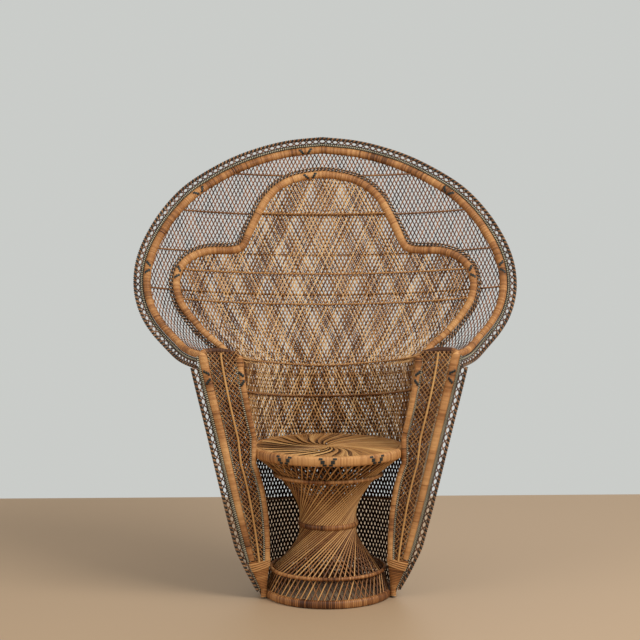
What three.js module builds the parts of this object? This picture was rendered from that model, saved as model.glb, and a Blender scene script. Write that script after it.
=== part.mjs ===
// Peacock chair of bent and woven rattan: an hourglass pedestal with a round seat, and a
// double-walled shell that rises from the floor, forms two arms and flares into a wide fan.
// Millimetres, +Z up, -Y is the front. The pedestal axis is vertical at x = 0.
import * as THREE from 'three';

// General fits
const clearance = 0.3;
const roundCorner = 3;

// Pedestal rings: every ring has its corners at the same angles, so that neighbours stay parallel
const ringSides = 32;
const baseRingOuterRadius = 196;
const baseRingDepth = 22;
const baseRingHeight = 25;
const lowerTieInset = 22;
const lowerTieRadius = baseRingOuterRadius - lowerTieInset;
const lowerTieLevel = 85;
const tieThickness = 11;
const waistOuterRadius = 93;
const waistDepth = 15;
const waistHeight = 17;
const waistLevel = 220;
const upperTieRadius = 163;
const upperTieLevel = 372;
const seatRingOuterRadius = 234;
const seatRingDepth = 22;
const seatRingHeight = 30;
const seatTopLevel = 459;

// Pedestal strands: two crossing sets of slanted strands, joined where they cross
const pedestalStrandWidth = 7;
const pedestalStrandThickness = 2.6;
const hourglassLevelShares = [0.38, 0.7];
const hourglassRadiusShares = [0.52, 0.17];

// Seat deck and the bars under it
const deckThickness = 7;
const deckRib = 1.6;
const deckSink = 5;
const deckRadiusShares = [0.28, 0.66, 1];
const deckSwirlShares = [0.09, 0.03, 0];
const seatBarRadius = 8;
const seatBarOffset = 78;

// Outer shell, measured as a flat pattern: arc from the middle of the back, level at the back
const armTopLevel = 662;
const armSpread = 139;
const armBreadth = 107;
const armHalfWidth = seatRingOuterRadius + armSpread;
const armFlankShare = 0.12;
const armDepth = 431;
const fanRadius = 1000;
const flareHeight = 400;
const fanTopLevel = 1360;
const backLeanDepth = 137;
const backCurveDepth = 88;
const frontRiseShare = 0.19;
const frontRiseLevel = 517;
const fanHalfArc = 603;

// Inner shell
const innerSeatLevel = 437;
const innerArmHalfWidth = armHalfWidth - armBreadth;
const innerArmDepth = 390;
const innerFanRadius = 950;
const innerFlareHeight = 380;
const innerLeanShare = 0.166;
const innerCurveDepth = 32;
const cloverTopLevel = 1280;
const cloverHalfArc = 496;

// Frame poles, wrapped in flat cane
const rimWidth = 21;
const rimThickness = 18;
const cloverWidth = 19;
const cloverThickness = 16;
const outerRailTopWidth = 26;
const outerRailFootWidth = 18;
const outerRailThickness = 18;
const innerRailWidth = 16;
const elbowReach = 26;
const elbowRiseShare = 0.25;
const elbowGap = 1.2;
const outerRailFootTurnShare = 0.5806;
const innerRailSeatTurnShare = 0.62;

// Feet of the arms
const footLevel = 115;
const footTipWidth = 18;
const footThickness = 16;
const footGroundGap = 4;
const footFacets = 1.5;
const innerFootInset = 10;
const innerFootHalfWidth = baseRingOuterRadius - innerFootInset;
const innerFootReach = 76;
const innerRailBowHalfWidth = 184;
const innerRailBowReach = 88;
const innerRailBowLevel = 317;
const innerRailHangLevel = 367;

// Bow over the top of an arm, from the outer rail to the inner corner
const bowRise = 14;
const bowReach = 22;
const bowEndWidth = 13;
const bowEndShare = 0.8;

// Arm panels
const armBulge = 14;
const spineRadius = 3.2;
const spineGap = 0.6;
const armNetPitch = 64;
const armNetSlopeShare = 0.7;
const armStrandWidth = 5;
const armStrandThickness = 2.4;

// Open diamond nets of the two shells
const netSlopeShare = 0.51;
const netPitch = 130;
const netRowShare = 0.98;
const netStrandWidth = 7;
const innerNetPitch = 98;
const innerNetRowShare = 0.97;
const innerNetStrandWidth = 6;
const netStrandThickness = 3;
const shortestStub = 6;
const stubLimitShare = 0.92;
const crossingRoom = 8.4;
const hoopGap = 0.6;
const hoopStepShare = 0.0625;
const hoopRadius = 4;
const outerHoopRows = [1, 4, 6, 7, 8, 9];
const innerHoopRows = [5, 6, 8, 9, 11];
const footHoopWidth = 4.6;
const footHoopHeight = 14;
const ringHoopFacets = 8;

// Openwork border outside the poles
const laceReach = 33;
const cloverLaceReach = 13;
const laceStrandWidth = 5;
const laceStrandThickness = 4;
const lacePitch = 70;
const laceCornerCut = 58;
const laceFootReach = 17;
const laceNarrowing = 150;
const cloverLaceCut = 116;

const QUARTER = Math.PI / 2;
const TURN = Math.PI * 2;

const wrappedCane = new THREE.MeshStandardMaterial({ color: 0xb5793f, roughness: 0.5, metalness: 0 });
const netCane = new THREE.MeshStandardMaterial({ color: 0x8a5a33, roughness: 0.6, metalness: 0 });
const paleCane = new THREE.MeshStandardMaterial({ color: 0xc9965a, roughness: 0.5, metalness: 0 });
const laceCane = new THREE.MeshStandardMaterial({ color: 0x5f4630, roughness: 0.6, metalness: 0 });
const pole = new THREE.MeshStandardMaterial({ color: 0x9c6a3c, roughness: 0.6, metalness: 0 });

const chair = new THREE.Group();

function addPiece(name, geometry, material) {
  const mesh = new THREE.Mesh(geometry, material.clone());
  mesh.name = name;
  chair.add(mesh);
}

function easeOut(share) {
  const held = Math.min(Math.max(share, 0), 1);
  return 1 - (1 - held) * (1 - held);
}

function easeBoth(share) {
  const held = Math.min(Math.max(share, 0), 1);
  return held * held * (3 - 2 * held);
}

function mix(start, end, share) {
  return start + (end - start) * share;
}

// The radius at the floor puts the shell's poles and net just outside the base ring
const shellFootRadius = baseRingOuterRadius + clearance + innerRailWidth / 2;
const innerSeatRadius = seatRingOuterRadius + clearance + innerRailWidth / 2;

// A shell is a stack of leaning half-ellipses: level is the height at the middle of the back
class Shell {
  constructor({ width, depth, back }) {
    this.width = width;
    this.depth = depth;
    this.back = back;
  }

  // Mean radius: an arc on the flat pattern divided by it is the angle round the shell
  radius(level) {
    return (this.width(level) + this.depth(level)) / 2;
  }

  point(arc, level) {
    const angle = arc / this.radius(level);
    const forward = this.depth(level) * (1 - Math.cos(angle));
    const rise = frontRiseShare * easeBoth(level / frontRiseLevel) * forward;
    return new THREE.Vector3(this.width(level) * Math.sin(angle), this.back(level) - forward, level + rise);
  }

  // Outward normal, away from the sitter
  normal(arc, level) {
    const step = clearance;
    const across = this.point(arc + step, level).sub(this.point(arc - step, level));
    const up = this.point(arc, level + step).sub(this.point(arc, level - step));
    return up.cross(across).normalize();
  }
}

// The flanks of the arms are a little fuller than a straight cone
function flankShare(level) {
  const share = Math.min(level / armTopLevel, 1);
  return share * (1 + armFlankShare * (1 - share));
}

const outerShell = new Shell({
  width: (level) => mix(shellFootRadius, armHalfWidth, flankShare(level))
    + (fanRadius - armHalfWidth) * easeOut((level - armTopLevel) / flareHeight),
  depth: (level) => mix(shellFootRadius, armDepth, Math.min(level / armTopLevel, 1))
    + (fanRadius - armDepth) * easeOut((level - armTopLevel) / flareHeight),
  back: (level) => {
    const share = level / fanTopLevel;
    return mix(shellFootRadius, innerSeatRadius + backLeanDepth, share) + backCurveDepth * share * share;
  },
});

// Below the seat level the inner shell is an upright cylinder just outside the seat ring
function innerShare(level) {
  return Math.min(Math.max((level - innerSeatLevel) / (armTopLevel - innerSeatLevel), 0), 1);
}

const innerShell = new Shell({
  width: (level) => {
    const share = innerShare(level);
    return mix(innerSeatRadius, innerArmHalfWidth, share)
      + (innerFanRadius - innerArmHalfWidth) * easeOut((level - armTopLevel) / innerFlareHeight);
  },
  depth: (level) => {
    const share = innerShare(level);
    return mix(innerSeatRadius, innerArmDepth, share)
      + (innerFanRadius - innerArmDepth) * easeOut((level - armTopLevel) / innerFlareHeight);
  },
  back: (level) => {
    const rise = Math.max(level - innerSeatLevel, 0);
    const share = rise / (cloverTopLevel - innerSeatLevel);
    return innerSeatRadius + innerLeanShare * rise + innerCurveDepth * share * share;
  },
});

// Outlines on the flat pattern, top of the fan first: shares of the half arc and of the height
// above the arm's top
const rimShares = [
  [0, 1], [0.166, 0.984], [0.315, 0.95], [0.464, 0.898], [0.619, 0.821], [0.738, 0.744],
  [0.846, 0.64], [0.924, 0.534], [0.972, 0.441], [0.995, 0.358], [1, 0.287], [0.99, 0.215],
  [0.967, 0.153], [0.942, 0.1], [0.945, 0.064], [0.982, 0.032],
];
const cloverShares = [
  [0, 1], [0.12, 0.987], [0.219, 0.964], [0.309, 0.919], [0.382, 0.853], [0.44, 0.77], [0.484, 0.696],
  [0.53, 0.618], [0.598, 0.594], [0.757, 0.583], [0.861, 0.555], [0.934, 0.513], [0.98, 0.461],
  [1, 0.395], [0.992, 0.319], [0.956, 0.256], [0.902, 0.181], [0.853, 0.125], [0.813, 0.084],
  [0.847, 0.044], [0.94, 0.018],
];

// Places of one half of an outline on the flat pattern, from the top of the fan down
function outlinePlaces(shares, halfArc, topLevel) {
  return shares.map(([arcShare, levelShare]) => new THREE.Vector2(
    arcShare * halfArc,
    mix(armTopLevel, topLevel, levelShare),
  ));
}

// Edge of the outer shell below the arm's top: it wraps further round near the floor
function outerRailPlace(level) {
  const turn = mix(outerRailFootTurnShare * Math.PI, QUARTER, level / armTopLevel);
  return new THREE.Vector2(turn * outerShell.radius(level), level);
}

function innerRailPlace(level) {
  const turn = mix(innerRailSeatTurnShare * Math.PI, QUARTER, innerShare(level));
  return new THREE.Vector2(turn * innerShell.radius(level), level);
}

function rimPlaces(steps) {
  const outline = [...outlinePlaces(rimShares, fanHalfArc, fanTopLevel), outerRailPlace(armTopLevel)];
  return new THREE.SplineCurve(outline).getSpacedPoints(steps);
}

// The clover frame turns down at the arm's inner corner in an elbow and meets the inner rail
const elbowEndLevel = armTopLevel - elbowReach * 2;

function cloverPlaces(steps) {
  const corner = innerRailPlace(armTopLevel);
  const start = corner.clone().sub(new THREE.Vector2(elbowReach, -elbowReach * elbowRiseShare));
  const end = innerRailPlace(armTopLevel - elbowReach);
  const outline = outlinePlaces(cloverShares, cloverHalfArc, cloverTopLevel);
  const main = new THREE.SplineCurve([...outline, start]);
  const elbow = new THREE.QuadraticBezierCurve(start, corner, end);
  return [...main.getSpacedPoints(steps), ...elbow.getPoints(4).slice(1), innerRailPlace(elbowEndLevel)];
}

// A route is a chain of stations: a place in space and the direction out of the surface there
function stationOn(shell) {
  return (place, offset = new THREE.Vector2()) => {
    const arc = place.x + offset.x;
    const level = place.y + offset.y;
    return { at: shell.point(arc, level), out: shell.normal(arc, level) };
  };
}

const onOuterShell = stationOn(outerShell);
const onInnerShell = stationOn(innerShell);

function mirrored({ at, out }) {
  return { at: new THREE.Vector3(-at.x, at.y, at.z), out: new THREE.Vector3(-out.x, out.y, out.z) };
}

function forEachSide(build) {
  build('right', (station) => station);
  build('left', mirrored);
}

// Joins a right-hand half, from the top down, to its mirror image
function bothHalves(half) {
  return [...half.map(mirrored).reverse(), ...half.slice(1)];
}

function routeLength(route) {
  return route.slice(1).reduce((total, { at }, i) => total + at.distanceTo(route[i].at), 0);
}

function between(one, other, share) {
  return {
    at: one.at.clone().lerp(other.at, share),
    out: one.out.clone().lerp(other.out, share).normalize(),
  };
}

// Station at a distance along a route
function stationAlong(route, distance) {
  let left = Math.max(distance, 0);
  for (let i = 1; i < route.length; i += 1) {
    const step = route[i].at.distanceTo(route[i - 1].at);
    if (left <= step || i === route.length - 1) {
      return between(route[i - 1], route[i], Math.min(left / step, 1));
    }
    left -= step;
  }
  return route[0];
}

// Shortens both ends of a route
function trimRoute(route, startCut, endCut) {
  const length = routeLength(route);
  let travelled = 0;
  const kept = route.filter((station, i) => {
    if (i > 0) travelled += station.at.distanceTo(route[i - 1].at);
    return travelled > startCut + clearance && travelled < length - endCut - clearance;
  });
  return [stationAlong(route, startCut), ...kept, stationAlong(route, length - endCut)];
}

function shiftRoute(route, distance) {
  return route.map(({ at, out }) => ({ at: at.clone().addScaledVector(out, distance), out }));
}

function routeTangent(route, index) {
  const before = route[Math.max(index - 1, 0)].at;
  const after = route[Math.min(index + 1, route.length - 1)].at;
  return after.clone().sub(before).normalize();
}

// A section is a list of pairs: across the route, and out of the surface. Its flat faces lie at
// half the width and half the thickness.
const poleSides = 8;
const poleGrow = 1 / Math.cos(Math.PI / poleSides);
const slimSides = 6;
const slimGrow = 1 / Math.cos(Math.PI / slimSides);

function ovalSection(width, thickness, sides = poleSides) {
  const grow = 1 / Math.cos(Math.PI / sides);
  return Array.from({ length: sides }, (_, i) => {
    const angle = (TURN * (i + 1 / 2)) / sides;
    return [grow * (width / 2) * Math.cos(angle), grow * (thickness / 2) * Math.sin(angle)];
  });
}

function stripSection(width, thickness) {
  const half = width / 2;
  const deep = thickness / 2;
  return [[half, deep], [-half, deep], [-half, -deep], [half, -deep]];
}

// Solid swept along a route: sectionAt gives the section at a share of the way
function sweep(route, sectionAt) {
  const positions = [];
  const indices = [];
  const sides = sectionAt(0).length;
  route.forEach(({ at, out }, index) => {
    const along = routeTangent(route, index);
    const across = new THREE.Vector3().crossVectors(along, out).normalize();
    const lift = new THREE.Vector3().crossVectors(across, along).normalize();
    sectionAt(index / (route.length - 1)).forEach(([wide, deep]) => {
      const corner = at.clone().addScaledVector(across, wide).addScaledVector(lift, deep);
      positions.push(corner.x, corner.y, corner.z);
    });
  });
  for (let ring = 0; ring < route.length - 1; ring += 1) {
    for (let side = 0; side < sides; side += 1) {
      const next = (side + 1) % sides;
      const a = ring * sides + side;
      const b = ring * sides + next;
      indices.push(a, b, a + sides, b, b + sides, a + sides);
    }
  }
  const last = (route.length - 1) * sides;
  for (let side = 1; side < sides - 1; side += 1) {
    indices.push(0, side + 1, side, last, last + side, last + side + 1);
  }
  return solid(positions, indices);
}

// Closed body from a triangle list, with its faces turned to look outwards
function solid(positions, indices) {
  const corner = (index) => new THREE.Vector3().fromArray(positions, index * 3);
  let volume = 0;
  for (let i = 0; i < indices.length; i += 3) {
    volume += corner(indices[i]).dot(corner(indices[i + 1]).cross(corner(indices[i + 2])));
  }
  const order = volume < 0 ? indices.slice().reverse() : indices;
  const geometry = new THREE.BufferGeometry();
  geometry.setAttribute('position', new THREE.Float32BufferAttribute(positions, 3));
  geometry.setIndex(order);
  return geometry;
}

// Ring with rounded corners, turned about the vertical axis
function turnedRing(innerRadius, outerRadius, bottom, top, corner) {
  const profile = [
    [innerRadius + corner, bottom], [outerRadius - corner, bottom], [outerRadius, bottom + corner],
    [outerRadius, top - corner], [outerRadius - corner, top], [innerRadius + corner, top],
    [innerRadius, top - corner], [innerRadius, bottom + corner],
  ];
  const positions = [];
  const indices = [];
  const count = profile.length;
  for (let step = 0; step < ringSides; step += 1) {
    const angle = (TURN * step) / ringSides;
    profile.forEach(([radius, height]) => {
      positions.push(radius * Math.cos(angle), radius * Math.sin(angle), height);
    });
    const nextStep = (step + 1) % ringSides;
    for (let side = 0; side < count; side += 1) {
      const nextSide = (side + 1) % count;
      const a = step * count + side;
      const b = step * count + nextSide;
      const c = nextStep * count + side;
      const d = nextStep * count + nextSide;
      indices.push(a, c, b, b, c, d);
    }
  }
  return solid(positions, indices);
}

const seatRingBottom = seatTopLevel - seatRingHeight;
const waistBottom = waistLevel - waistHeight / 2;
const waistTop = waistLevel + waistHeight / 2;

function tieInnerRadius(radius) {
  return radius - tieThickness / 2;
}

function buildRings() {
  addPiece('base_ring', turnedRing(
    baseRingOuterRadius - baseRingDepth, baseRingOuterRadius, 0, baseRingHeight, roundCorner,
  ), wrappedCane);
  addPiece('waist_ring', turnedRing(
    waistOuterRadius - waistDepth, waistOuterRadius, waistBottom, waistTop, roundCorner,
  ), wrappedCane);
  addPiece('seat_ring', turnedRing(
    seatRingOuterRadius - seatRingDepth, seatRingOuterRadius, seatRingBottom, seatTopLevel, roundCorner,
  ), wrappedCane);
  const tie = (radius, level) => turnedRing(
    tieInnerRadius(radius), radius + tieThickness / 2,
    level - tieThickness / 2, level + tieThickness / 2, roundCorner,
  );
  addPiece('lower_tie_ring', tie(lowerTieRadius, lowerTieLevel), wrappedCane);
  addPiece('upper_tie_ring', tie(upperTieRadius, upperTieLevel), wrappedCane);
}

// A lattice of flat strips: places on a flat pattern, and links that run from one place to
// another in a direction given in millimetres. One closed body.
function lattice({ places, links, toStation, width, thickness }) {
  const half = width / 2;
  const positions = [];
  const indices = [];
  const quad = (a, b, c, d) => indices.push(a, b, c, a, c, d);
  const addCorner = (place, offset) => {
    const { at, out } = toStation(place, offset);
    [thickness / 2, -thickness / 2].forEach((lift) => {
      positions.push(...at.clone().addScaledVector(out, lift).toArray());
    });
    return positions.length / 3 - 2;
  };
  const gates = new Map();
  spokesOf(places, links).forEach((spokes, index) => {
    if (spokes.length === 0) return;
    const place = places[index];
    const corners = hubOffsets(spokes, half, place.isLevel).map((offset) => addCorner(place, offset));
    const last = corners.length - 1;
    spokes.forEach(({ to }, i) => {
      gates.set(`${index}>${to}`, [corners[i === 0 ? last : i - 1], corners[i]]);
    });
    if (spokes.length === 1) quad(corners[0], corners[0] + 1, corners[1] + 1, corners[1]);
    for (let i = 1; i < last; i += 1) {
      indices.push(corners[0], corners[i], corners[i + 1]);
      indices.push(corners[0] + 1, corners[i + 1] + 1, corners[i] + 1);
    }
  });
  links.forEach(({ from, to }) => {
    const [rightNear, leftNear] = gates.get(`${from}>${to}`);
    const [leftFar, rightFar] = gates.get(`${to}>${from}`);
    quad(rightNear, rightFar, leftFar, leftNear);
    quad(rightNear + 1, leftNear + 1, leftFar + 1, rightFar + 1);
    quad(rightNear, rightNear + 1, rightFar + 1, rightFar);
    quad(leftNear, leftFar, leftFar + 1, leftNear + 1);
  });
  return solid(positions, indices);
}

// The links that leave each place, in order of their direction
function spokesOf(places, links) {
  const around = places.map(() => []);
  links.forEach(({ from, to, along }) => {
    around[from].push({ to, turn: Math.atan2(along.y, along.x) });
    around[to].push({ to: from, turn: Math.atan2(-along.y, -along.x) });
  });
  return around.map((spokes) => spokes.sort((one, other) => one.turn - other.turn));
}

// Corners round a place, each between two neighbouring links; a single link has a cut end
function hubOffsets(spokes, half, isLevel) {
  const towards = (turn, reach) => new THREE.Vector2(Math.cos(turn), Math.sin(turn)).multiplyScalar(reach);
  if (spokes.length > 1) {
    return spokes.map(({ turn }, i) => {
      const next = i + 1 < spokes.length ? spokes[i + 1].turn : spokes[0].turn + TURN;
      const halfGap = (next - turn) / 2;
      return towards(turn + halfGap, halfGap > QUARTER ? half : half / Math.sin(halfGap));
    });
  }
  const { turn } = spokes[0];
  if (isLevel) return [-half / Math.sin(turn), half / Math.sin(turn)].map((x) => new THREE.Vector2(x, 0));
  return [towards(turn + QUARTER, half), towards(turn - QUARTER, half)];
}

// One half of the hourglass between two rings, bound on its way by a tie ring
function hourglassHalf({ endRadius, endLevel, tieRadius, tieLevel, neckLevel }) {
  const upward = Math.sign(neckLevel - endLevel);
  const endGap = upward * (clearance + pedestalStrandWidth / 2);
  const neckRadius = waistOuterRadius - waistDepth / 2;
  const tieWall = (tieInnerRadius(tieRadius) * (1 + Math.cos(Math.PI / ringSides))) / 2;
  const tiedRadius = tieWall - clearance - pedestalStrandThickness / 2;
  const flare = (endRadius - tiedRadius) / Math.abs(tieLevel - endLevel);
  const cornerRoom = roundCorner * Math.max(0, 1 - flare);
  const stops = [
    { radius: endRadius, level: endLevel + endGap },
    { radius: tiedRadius, level: tieLevel - upward * (tieThickness / 2 - cornerRoom) },
    ...hourglassLevelShares.map((share, i) => ({
      radius: mix(neckRadius, tiedRadius, hourglassRadiusShares[i]), level: mix(tieLevel, neckLevel, share),
    })),
    { radius: neckRadius, level: neckLevel - endGap },
  ];
  return upward > 0 ? stops : stops.reverse();
}

function strandNet(stops) {
  const count = ringSides / 2;
  const halfTurn = TURN / ringSides;
  const places = stops.flatMap((_, row) => Array.from({ length: count }, (__, column) => (
    new THREE.Vector2((column * 2 + (row % 2)) * halfTurn, row)
  )));
  const links = [];
  for (let row = 0; row < stops.length - 1; row += 1) {
    const [here, next] = [stops[row], stops[row + 1]];
    const rise = Math.hypot(next.level - here.level, next.radius - here.radius);
    const shift = (halfTurn * (here.radius + next.radius)) / 2;
    for (let column = 0; column < count; column += 1) {
      const ahead = (column + (row % 2)) % count;
      const behind = (column + (row % 2) + count - 1) % count;
      const from = row * count + column;
      links.push({ from, to: (row + 1) * count + ahead, along: new THREE.Vector2(shift, rise) });
      links.push({ from, to: (row + 1) * count + behind, along: new THREE.Vector2(-shift, rise) });
    }
  }
  return { places, links, toStation: (place, offset) => hourglassStation(stops, place, offset) };
}

function hourglassStation(stops, place, offset) {
  const here = stops[place.y];
  const next = stops[place.y + Math.sign(offset.y)] || here;
  const run = Math.hypot(next.level - here.level, next.radius - here.radius) || 1;
  const share = Math.abs(offset.y) / run;
  const beyond = next === here ? offset.y : 0;
  const radius = mix(here.radius, next.radius, share);
  const angle = place.x + offset.x / radius;
  const out = new THREE.Vector3(Math.cos(angle), Math.sin(angle), 0);
  return { at: out.clone().multiplyScalar(radius).setZ(mix(here.level, next.level, share) + beyond), out };
}

function buildPedestalStrands() {
  const size = { width: pedestalStrandWidth, thickness: pedestalStrandThickness };
  addPiece('pedestal_strands_lower', lattice({
    ...strandNet(hourglassHalf({
      endRadius: baseRingOuterRadius - baseRingDepth / 2,
      endLevel: baseRingHeight,
      tieRadius: lowerTieRadius,
      tieLevel: lowerTieLevel,
      neckLevel: waistBottom,
    })),
    ...size,
  }), netCane);
  addPiece('pedestal_strands_upper', lattice({
    ...strandNet(hourglassHalf({
      endRadius: seatRingOuterRadius - seatRingDepth / 2,
      endLevel: seatRingBottom,
      tieRadius: upperTieRadius,
      tieLevel: upperTieLevel,
      neckLevel: waistTop,
    })),
    ...size,
  }), netCane);
}

// Seat deck: fine strands that swirl out of the middle, as shallow ribs on a disc
function buildSeatDeck() {
  const rimRadius = seatRingOuterRadius - seatRingDepth - clearance;
  const top = seatTopLevel - deckSink;
  const bottom = top - deckThickness;
  const positions = [0, 0, top - deckRib, 0, 0, bottom];
  const indices = [];
  deckRadiusShares.forEach((radiusShare, band) => {
    for (let step = 0; step < ringSides; step += 1) {
      const angle = (TURN * step) / ringSides + TURN * deckSwirlShares[band];
      const x = radiusShare * rimRadius * Math.cos(angle);
      const y = radiusShare * rimRadius * Math.sin(angle);
      const groove = step % 2 === 1 ? deckRib : 0;
      positions.push(x, y, top - groove, x, y, bottom);
    }
  });
  const corner = (band, step, under) => 2 + (band * ringSides + (step % ringSides)) * 2 + under;
  for (let step = 0; step < ringSides; step += 1) {
    indices.push(0, corner(0, step, 0), corner(0, step + 1, 0));
    indices.push(1, corner(0, step + 1, 1), corner(0, step, 1));
    for (let band = 0; band < deckRadiusShares.length - 1; band += 1) {
      const [a, b] = [corner(band, step, 0), corner(band, step + 1, 0)];
      const [c, d] = [corner(band + 1, step, 0), corner(band + 1, step + 1, 0)];
      indices.push(a, c, d, a, d, b, a + 1, d + 1, c + 1, a + 1, b + 1, d + 1);
    }
    const edge = deckRadiusShares.length - 1;
    const [e, f] = [corner(edge, step, 0), corner(edge, step + 1, 0)];
    indices.push(e, e + 1, f + 1, e, f + 1, f);
  }
  addPiece('seat_deck', solid(positions, indices), paleCane);
}

function buildSeatBars() {
  const wall = (seatRingOuterRadius - seatRingDepth) * Math.cos(Math.PI / ringSides) - clearance;
  const halfLength = Math.sqrt(wall * wall - (seatBarOffset + seatBarRadius) ** 2);
  const level = seatTopLevel - deckSink - deckThickness - clearance - seatBarRadius;
  [['seat_bar_front', -seatBarOffset], ['seat_bar_rear', seatBarOffset]].forEach(([name, y]) => {
    const route = [-halfLength, halfLength].map((x) => ({
      at: new THREE.Vector3(x, y, level), out: new THREE.Vector3(0, 0, 1),
    }));
    const width = (seatBarRadius * 2) / poleGrow;
    addPiece(name, sweep(route, () => ovalSection(width, width)), pole);
  });
}

// Frame routes, right-hand side, from the foot up
function levelsBetween(low, high, steps) {
  return Array.from({ length: steps + 1 }, (_, i) => mix(low, high, i / steps));
}

const outerRail = levelsBetween(footLevel, armTopLevel, 14)
  .map((level) => onOuterShell(outerRailPlace(level)));
const innerRailUpper = levelsBetween(innerRailHangLevel, armTopLevel, 10)
  .map((level) => onInnerShell(innerRailPlace(level)));

// Below the seat the inner rail hangs free of the shell and bows down to the foot
function innerRailLower(steps) {
  const { at: start, out } = innerRailUpper[0];
  const curve = new THREE.QuadraticBezierCurve3(
    new THREE.Vector3(innerFootHalfWidth, -innerFootReach, outerRail[0].at.z),
    new THREE.Vector3(innerRailBowHalfWidth, -innerRailBowReach, innerRailBowLevel),
    start,
  );
  return curve.getSpacedPoints(steps).map((at) => ({ at, out }));
}

const innerRail = [...innerRailLower(8), ...innerRailUpper.slice(1)];
const elbowEnd = onInnerShell(innerRailPlace(elbowEndLevel));
const innerRailPole = [...innerRail.filter(({ at }) => at.z < elbowEnd.at.z - elbowReach), elbowEnd];

// The bow over the arm continues the outer rail inwards
function bowRoute(steps) {
  const start = outerRail[outerRail.length - 1];
  const finish = innerRail[innerRail.length - 1].at;
  const across = routeTangent(outerRail, outerRail.length - 1).cross(start.out);
  const placeAt = (share) => {
    const half = share * Math.PI;
    const arch = new THREE.Vector3(0, bowReach, bowRise).multiplyScalar(Math.sin(half));
    return start.at.clone().lerp(finish, (1 - Math.cos(half)) / 2).add(arch);
  };
  return Array.from({ length: steps }, (_, i) => {
    const share = ((i + 1) / steps) * bowEndShare;
    const along = placeAt(share + clearance / bowRise).sub(placeAt(share)).normalize();
    return { at: placeAt(share), out: across.clone().cross(along).normalize() };
  });
}

const bow = bowRoute(7);
const outerRailPole = [...outerRail, ...bow];

// The rim butts against the back of the outer rail
function rimEndCut(half) {
  const along = routeTangent(half, half.length - 1);
  return (outerRailThickness / 2) * poleGrow + (rimWidth / 2) * Math.abs(along.z) + bowReach / 2;
}

const rimHalf = rimPlaces(28).map((place) => onOuterShell(place));
const rimRoute = trimRoute(bothHalves(rimHalf), rimEndCut(rimHalf), rimEndCut(rimHalf));
const cloverHalf = cloverPlaces(30).map((place) => onInnerShell(place));
const cloverRoute = trimRoute(bothHalves(cloverHalf), clearance / 2, clearance / 2);

function outerRailHalfWidth(share) {
  const railShare = Math.min((share * (outerRailPole.length - 1)) / (outerRail.length - 1), 1);
  const bowShare = Math.max((share * (outerRailPole.length - 1) - outerRail.length + 1) / bow.length, 0);
  return mix(mix(outerRailFootWidth, outerRailTopWidth, railShare), bowEndWidth, bowShare) / 2;
}

function outerRailHalfThickness(share) {
  const bowShare = Math.max((share * (outerRailPole.length - 1) - outerRail.length + 1) / bow.length, 0);
  return mix(outerRailThickness, bowEndWidth, bowShare) / 2;
}

function buildPoles() {
  addPiece('fan_rim', sweep(rimRoute, () => ovalSection(rimWidth, rimThickness)), wrappedCane);
  const cloverSection = ovalSection(cloverWidth, cloverThickness);
  addPiece('clover_frame', sweep(cloverRoute, () => cloverSection), wrappedCane);
  forEachSide((side, flip) => {
    addPiece(`outer_rail_${side}`, sweep(outerRailPole.map(flip), (share) => ovalSection(
      outerRailHalfThickness(share) * 2, outerRailHalfWidth(share) * 2,
    )), wrappedCane);
    addPiece(`inner_rail_${side}`, sweep(
      trimRoute(innerRailPole, 0, elbowGap).map(flip), () => ovalSection(innerRailWidth, innerRailWidth),
    ), wrappedCane);
  });
}

// The wrapped foot gathers both rails and stands beside the base ring, flat against one facet
function lowestOfCap(route, half) {
  const along = routeTangent(route, 0);
  return route[0].at.z - half * poleGrow * Math.hypot(along.x, along.y);
}

const footTopLevel = Math.min(
  lowestOfCap(outerRail, outerRailThickness / 2),
  lowestOfCap(innerRail, innerRailWidth / 2),
) - clearance;
const footInnerEdge = innerFootHalfWidth - innerRailWidth / 2;
const footOuterEdge = outerRail[0].at.x + outerRailFootWidth / 2;

function footPlaces() {
  const angle = -(TURN / ringSides) * footFacets;
  const radius = baseRingOuterRadius * Math.cos(Math.PI / ringSides) + clearance + footTipWidth / 2;
  const tip = new THREE.Vector3(radius * Math.cos(angle), radius * Math.sin(angle), 0);
  const tipOut = new THREE.Vector3(Math.sin(angle), -Math.cos(angle), 0);
  const topAt = new THREE.Vector3((footInnerEdge + footOuterEdge) / 2, -innerFootReach, footTopLevel);
  const topOut = new THREE.Vector3(0, -1, 0);
  const low = { at: tip.clone().setZ(footGroundGap), out: tipOut };
  const high = { at: tip.clone().setZ(baseRingHeight + roundCorner), out: tipOut };
  const top = { at: topAt, out: topOut };
  const underTop = { at: topAt.clone().setZ(footTopLevel - roundCorner), out: topOut };
  return [low, high, between(high, underTop, 1 / 2), underTop, top];
}

const footRoute = footPlaces();

function footHalfWidth(share) {
  const spread = Math.min(Math.max((share * (footRoute.length - 1) - 1) / (footRoute.length - 3), 0), 1);
  return mix(footTipWidth, footOuterEdge - footInnerEdge, spread) / 2;
}

function buildFeet() {
  forEachSide((side, flip) => {
    addPiece(`foot_wrap_${side}`, sweep(footRoute.map(flip), (share) => ovalSection(
      footHalfWidth(share) * 2, footThickness,
    )), wrappedCane);
  });
}

// Room between a place and the surface of a pole
function gapToPole(place, { route, halfAt }) {
  const segment = new THREE.Line3();
  const nearest = new THREE.Vector3();
  let least = Infinity;
  for (let i = 1; i < route.length; i += 1) {
    segment.set(route[i - 1].at, route[i].at);
    const share = segment.closestPointToPointParameter(place, true);
    segment.at(share, nearest);
    const half = halfAt((i - 1 + share) / (route.length - 1));
    least = Math.min(least, nearest.distanceTo(place) - half);
  }
  return least;
}

function isClearOfPoles(place, poles) {
  return poles.every((pole) => gapToPole(place, pole) > clearance);
}

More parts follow.
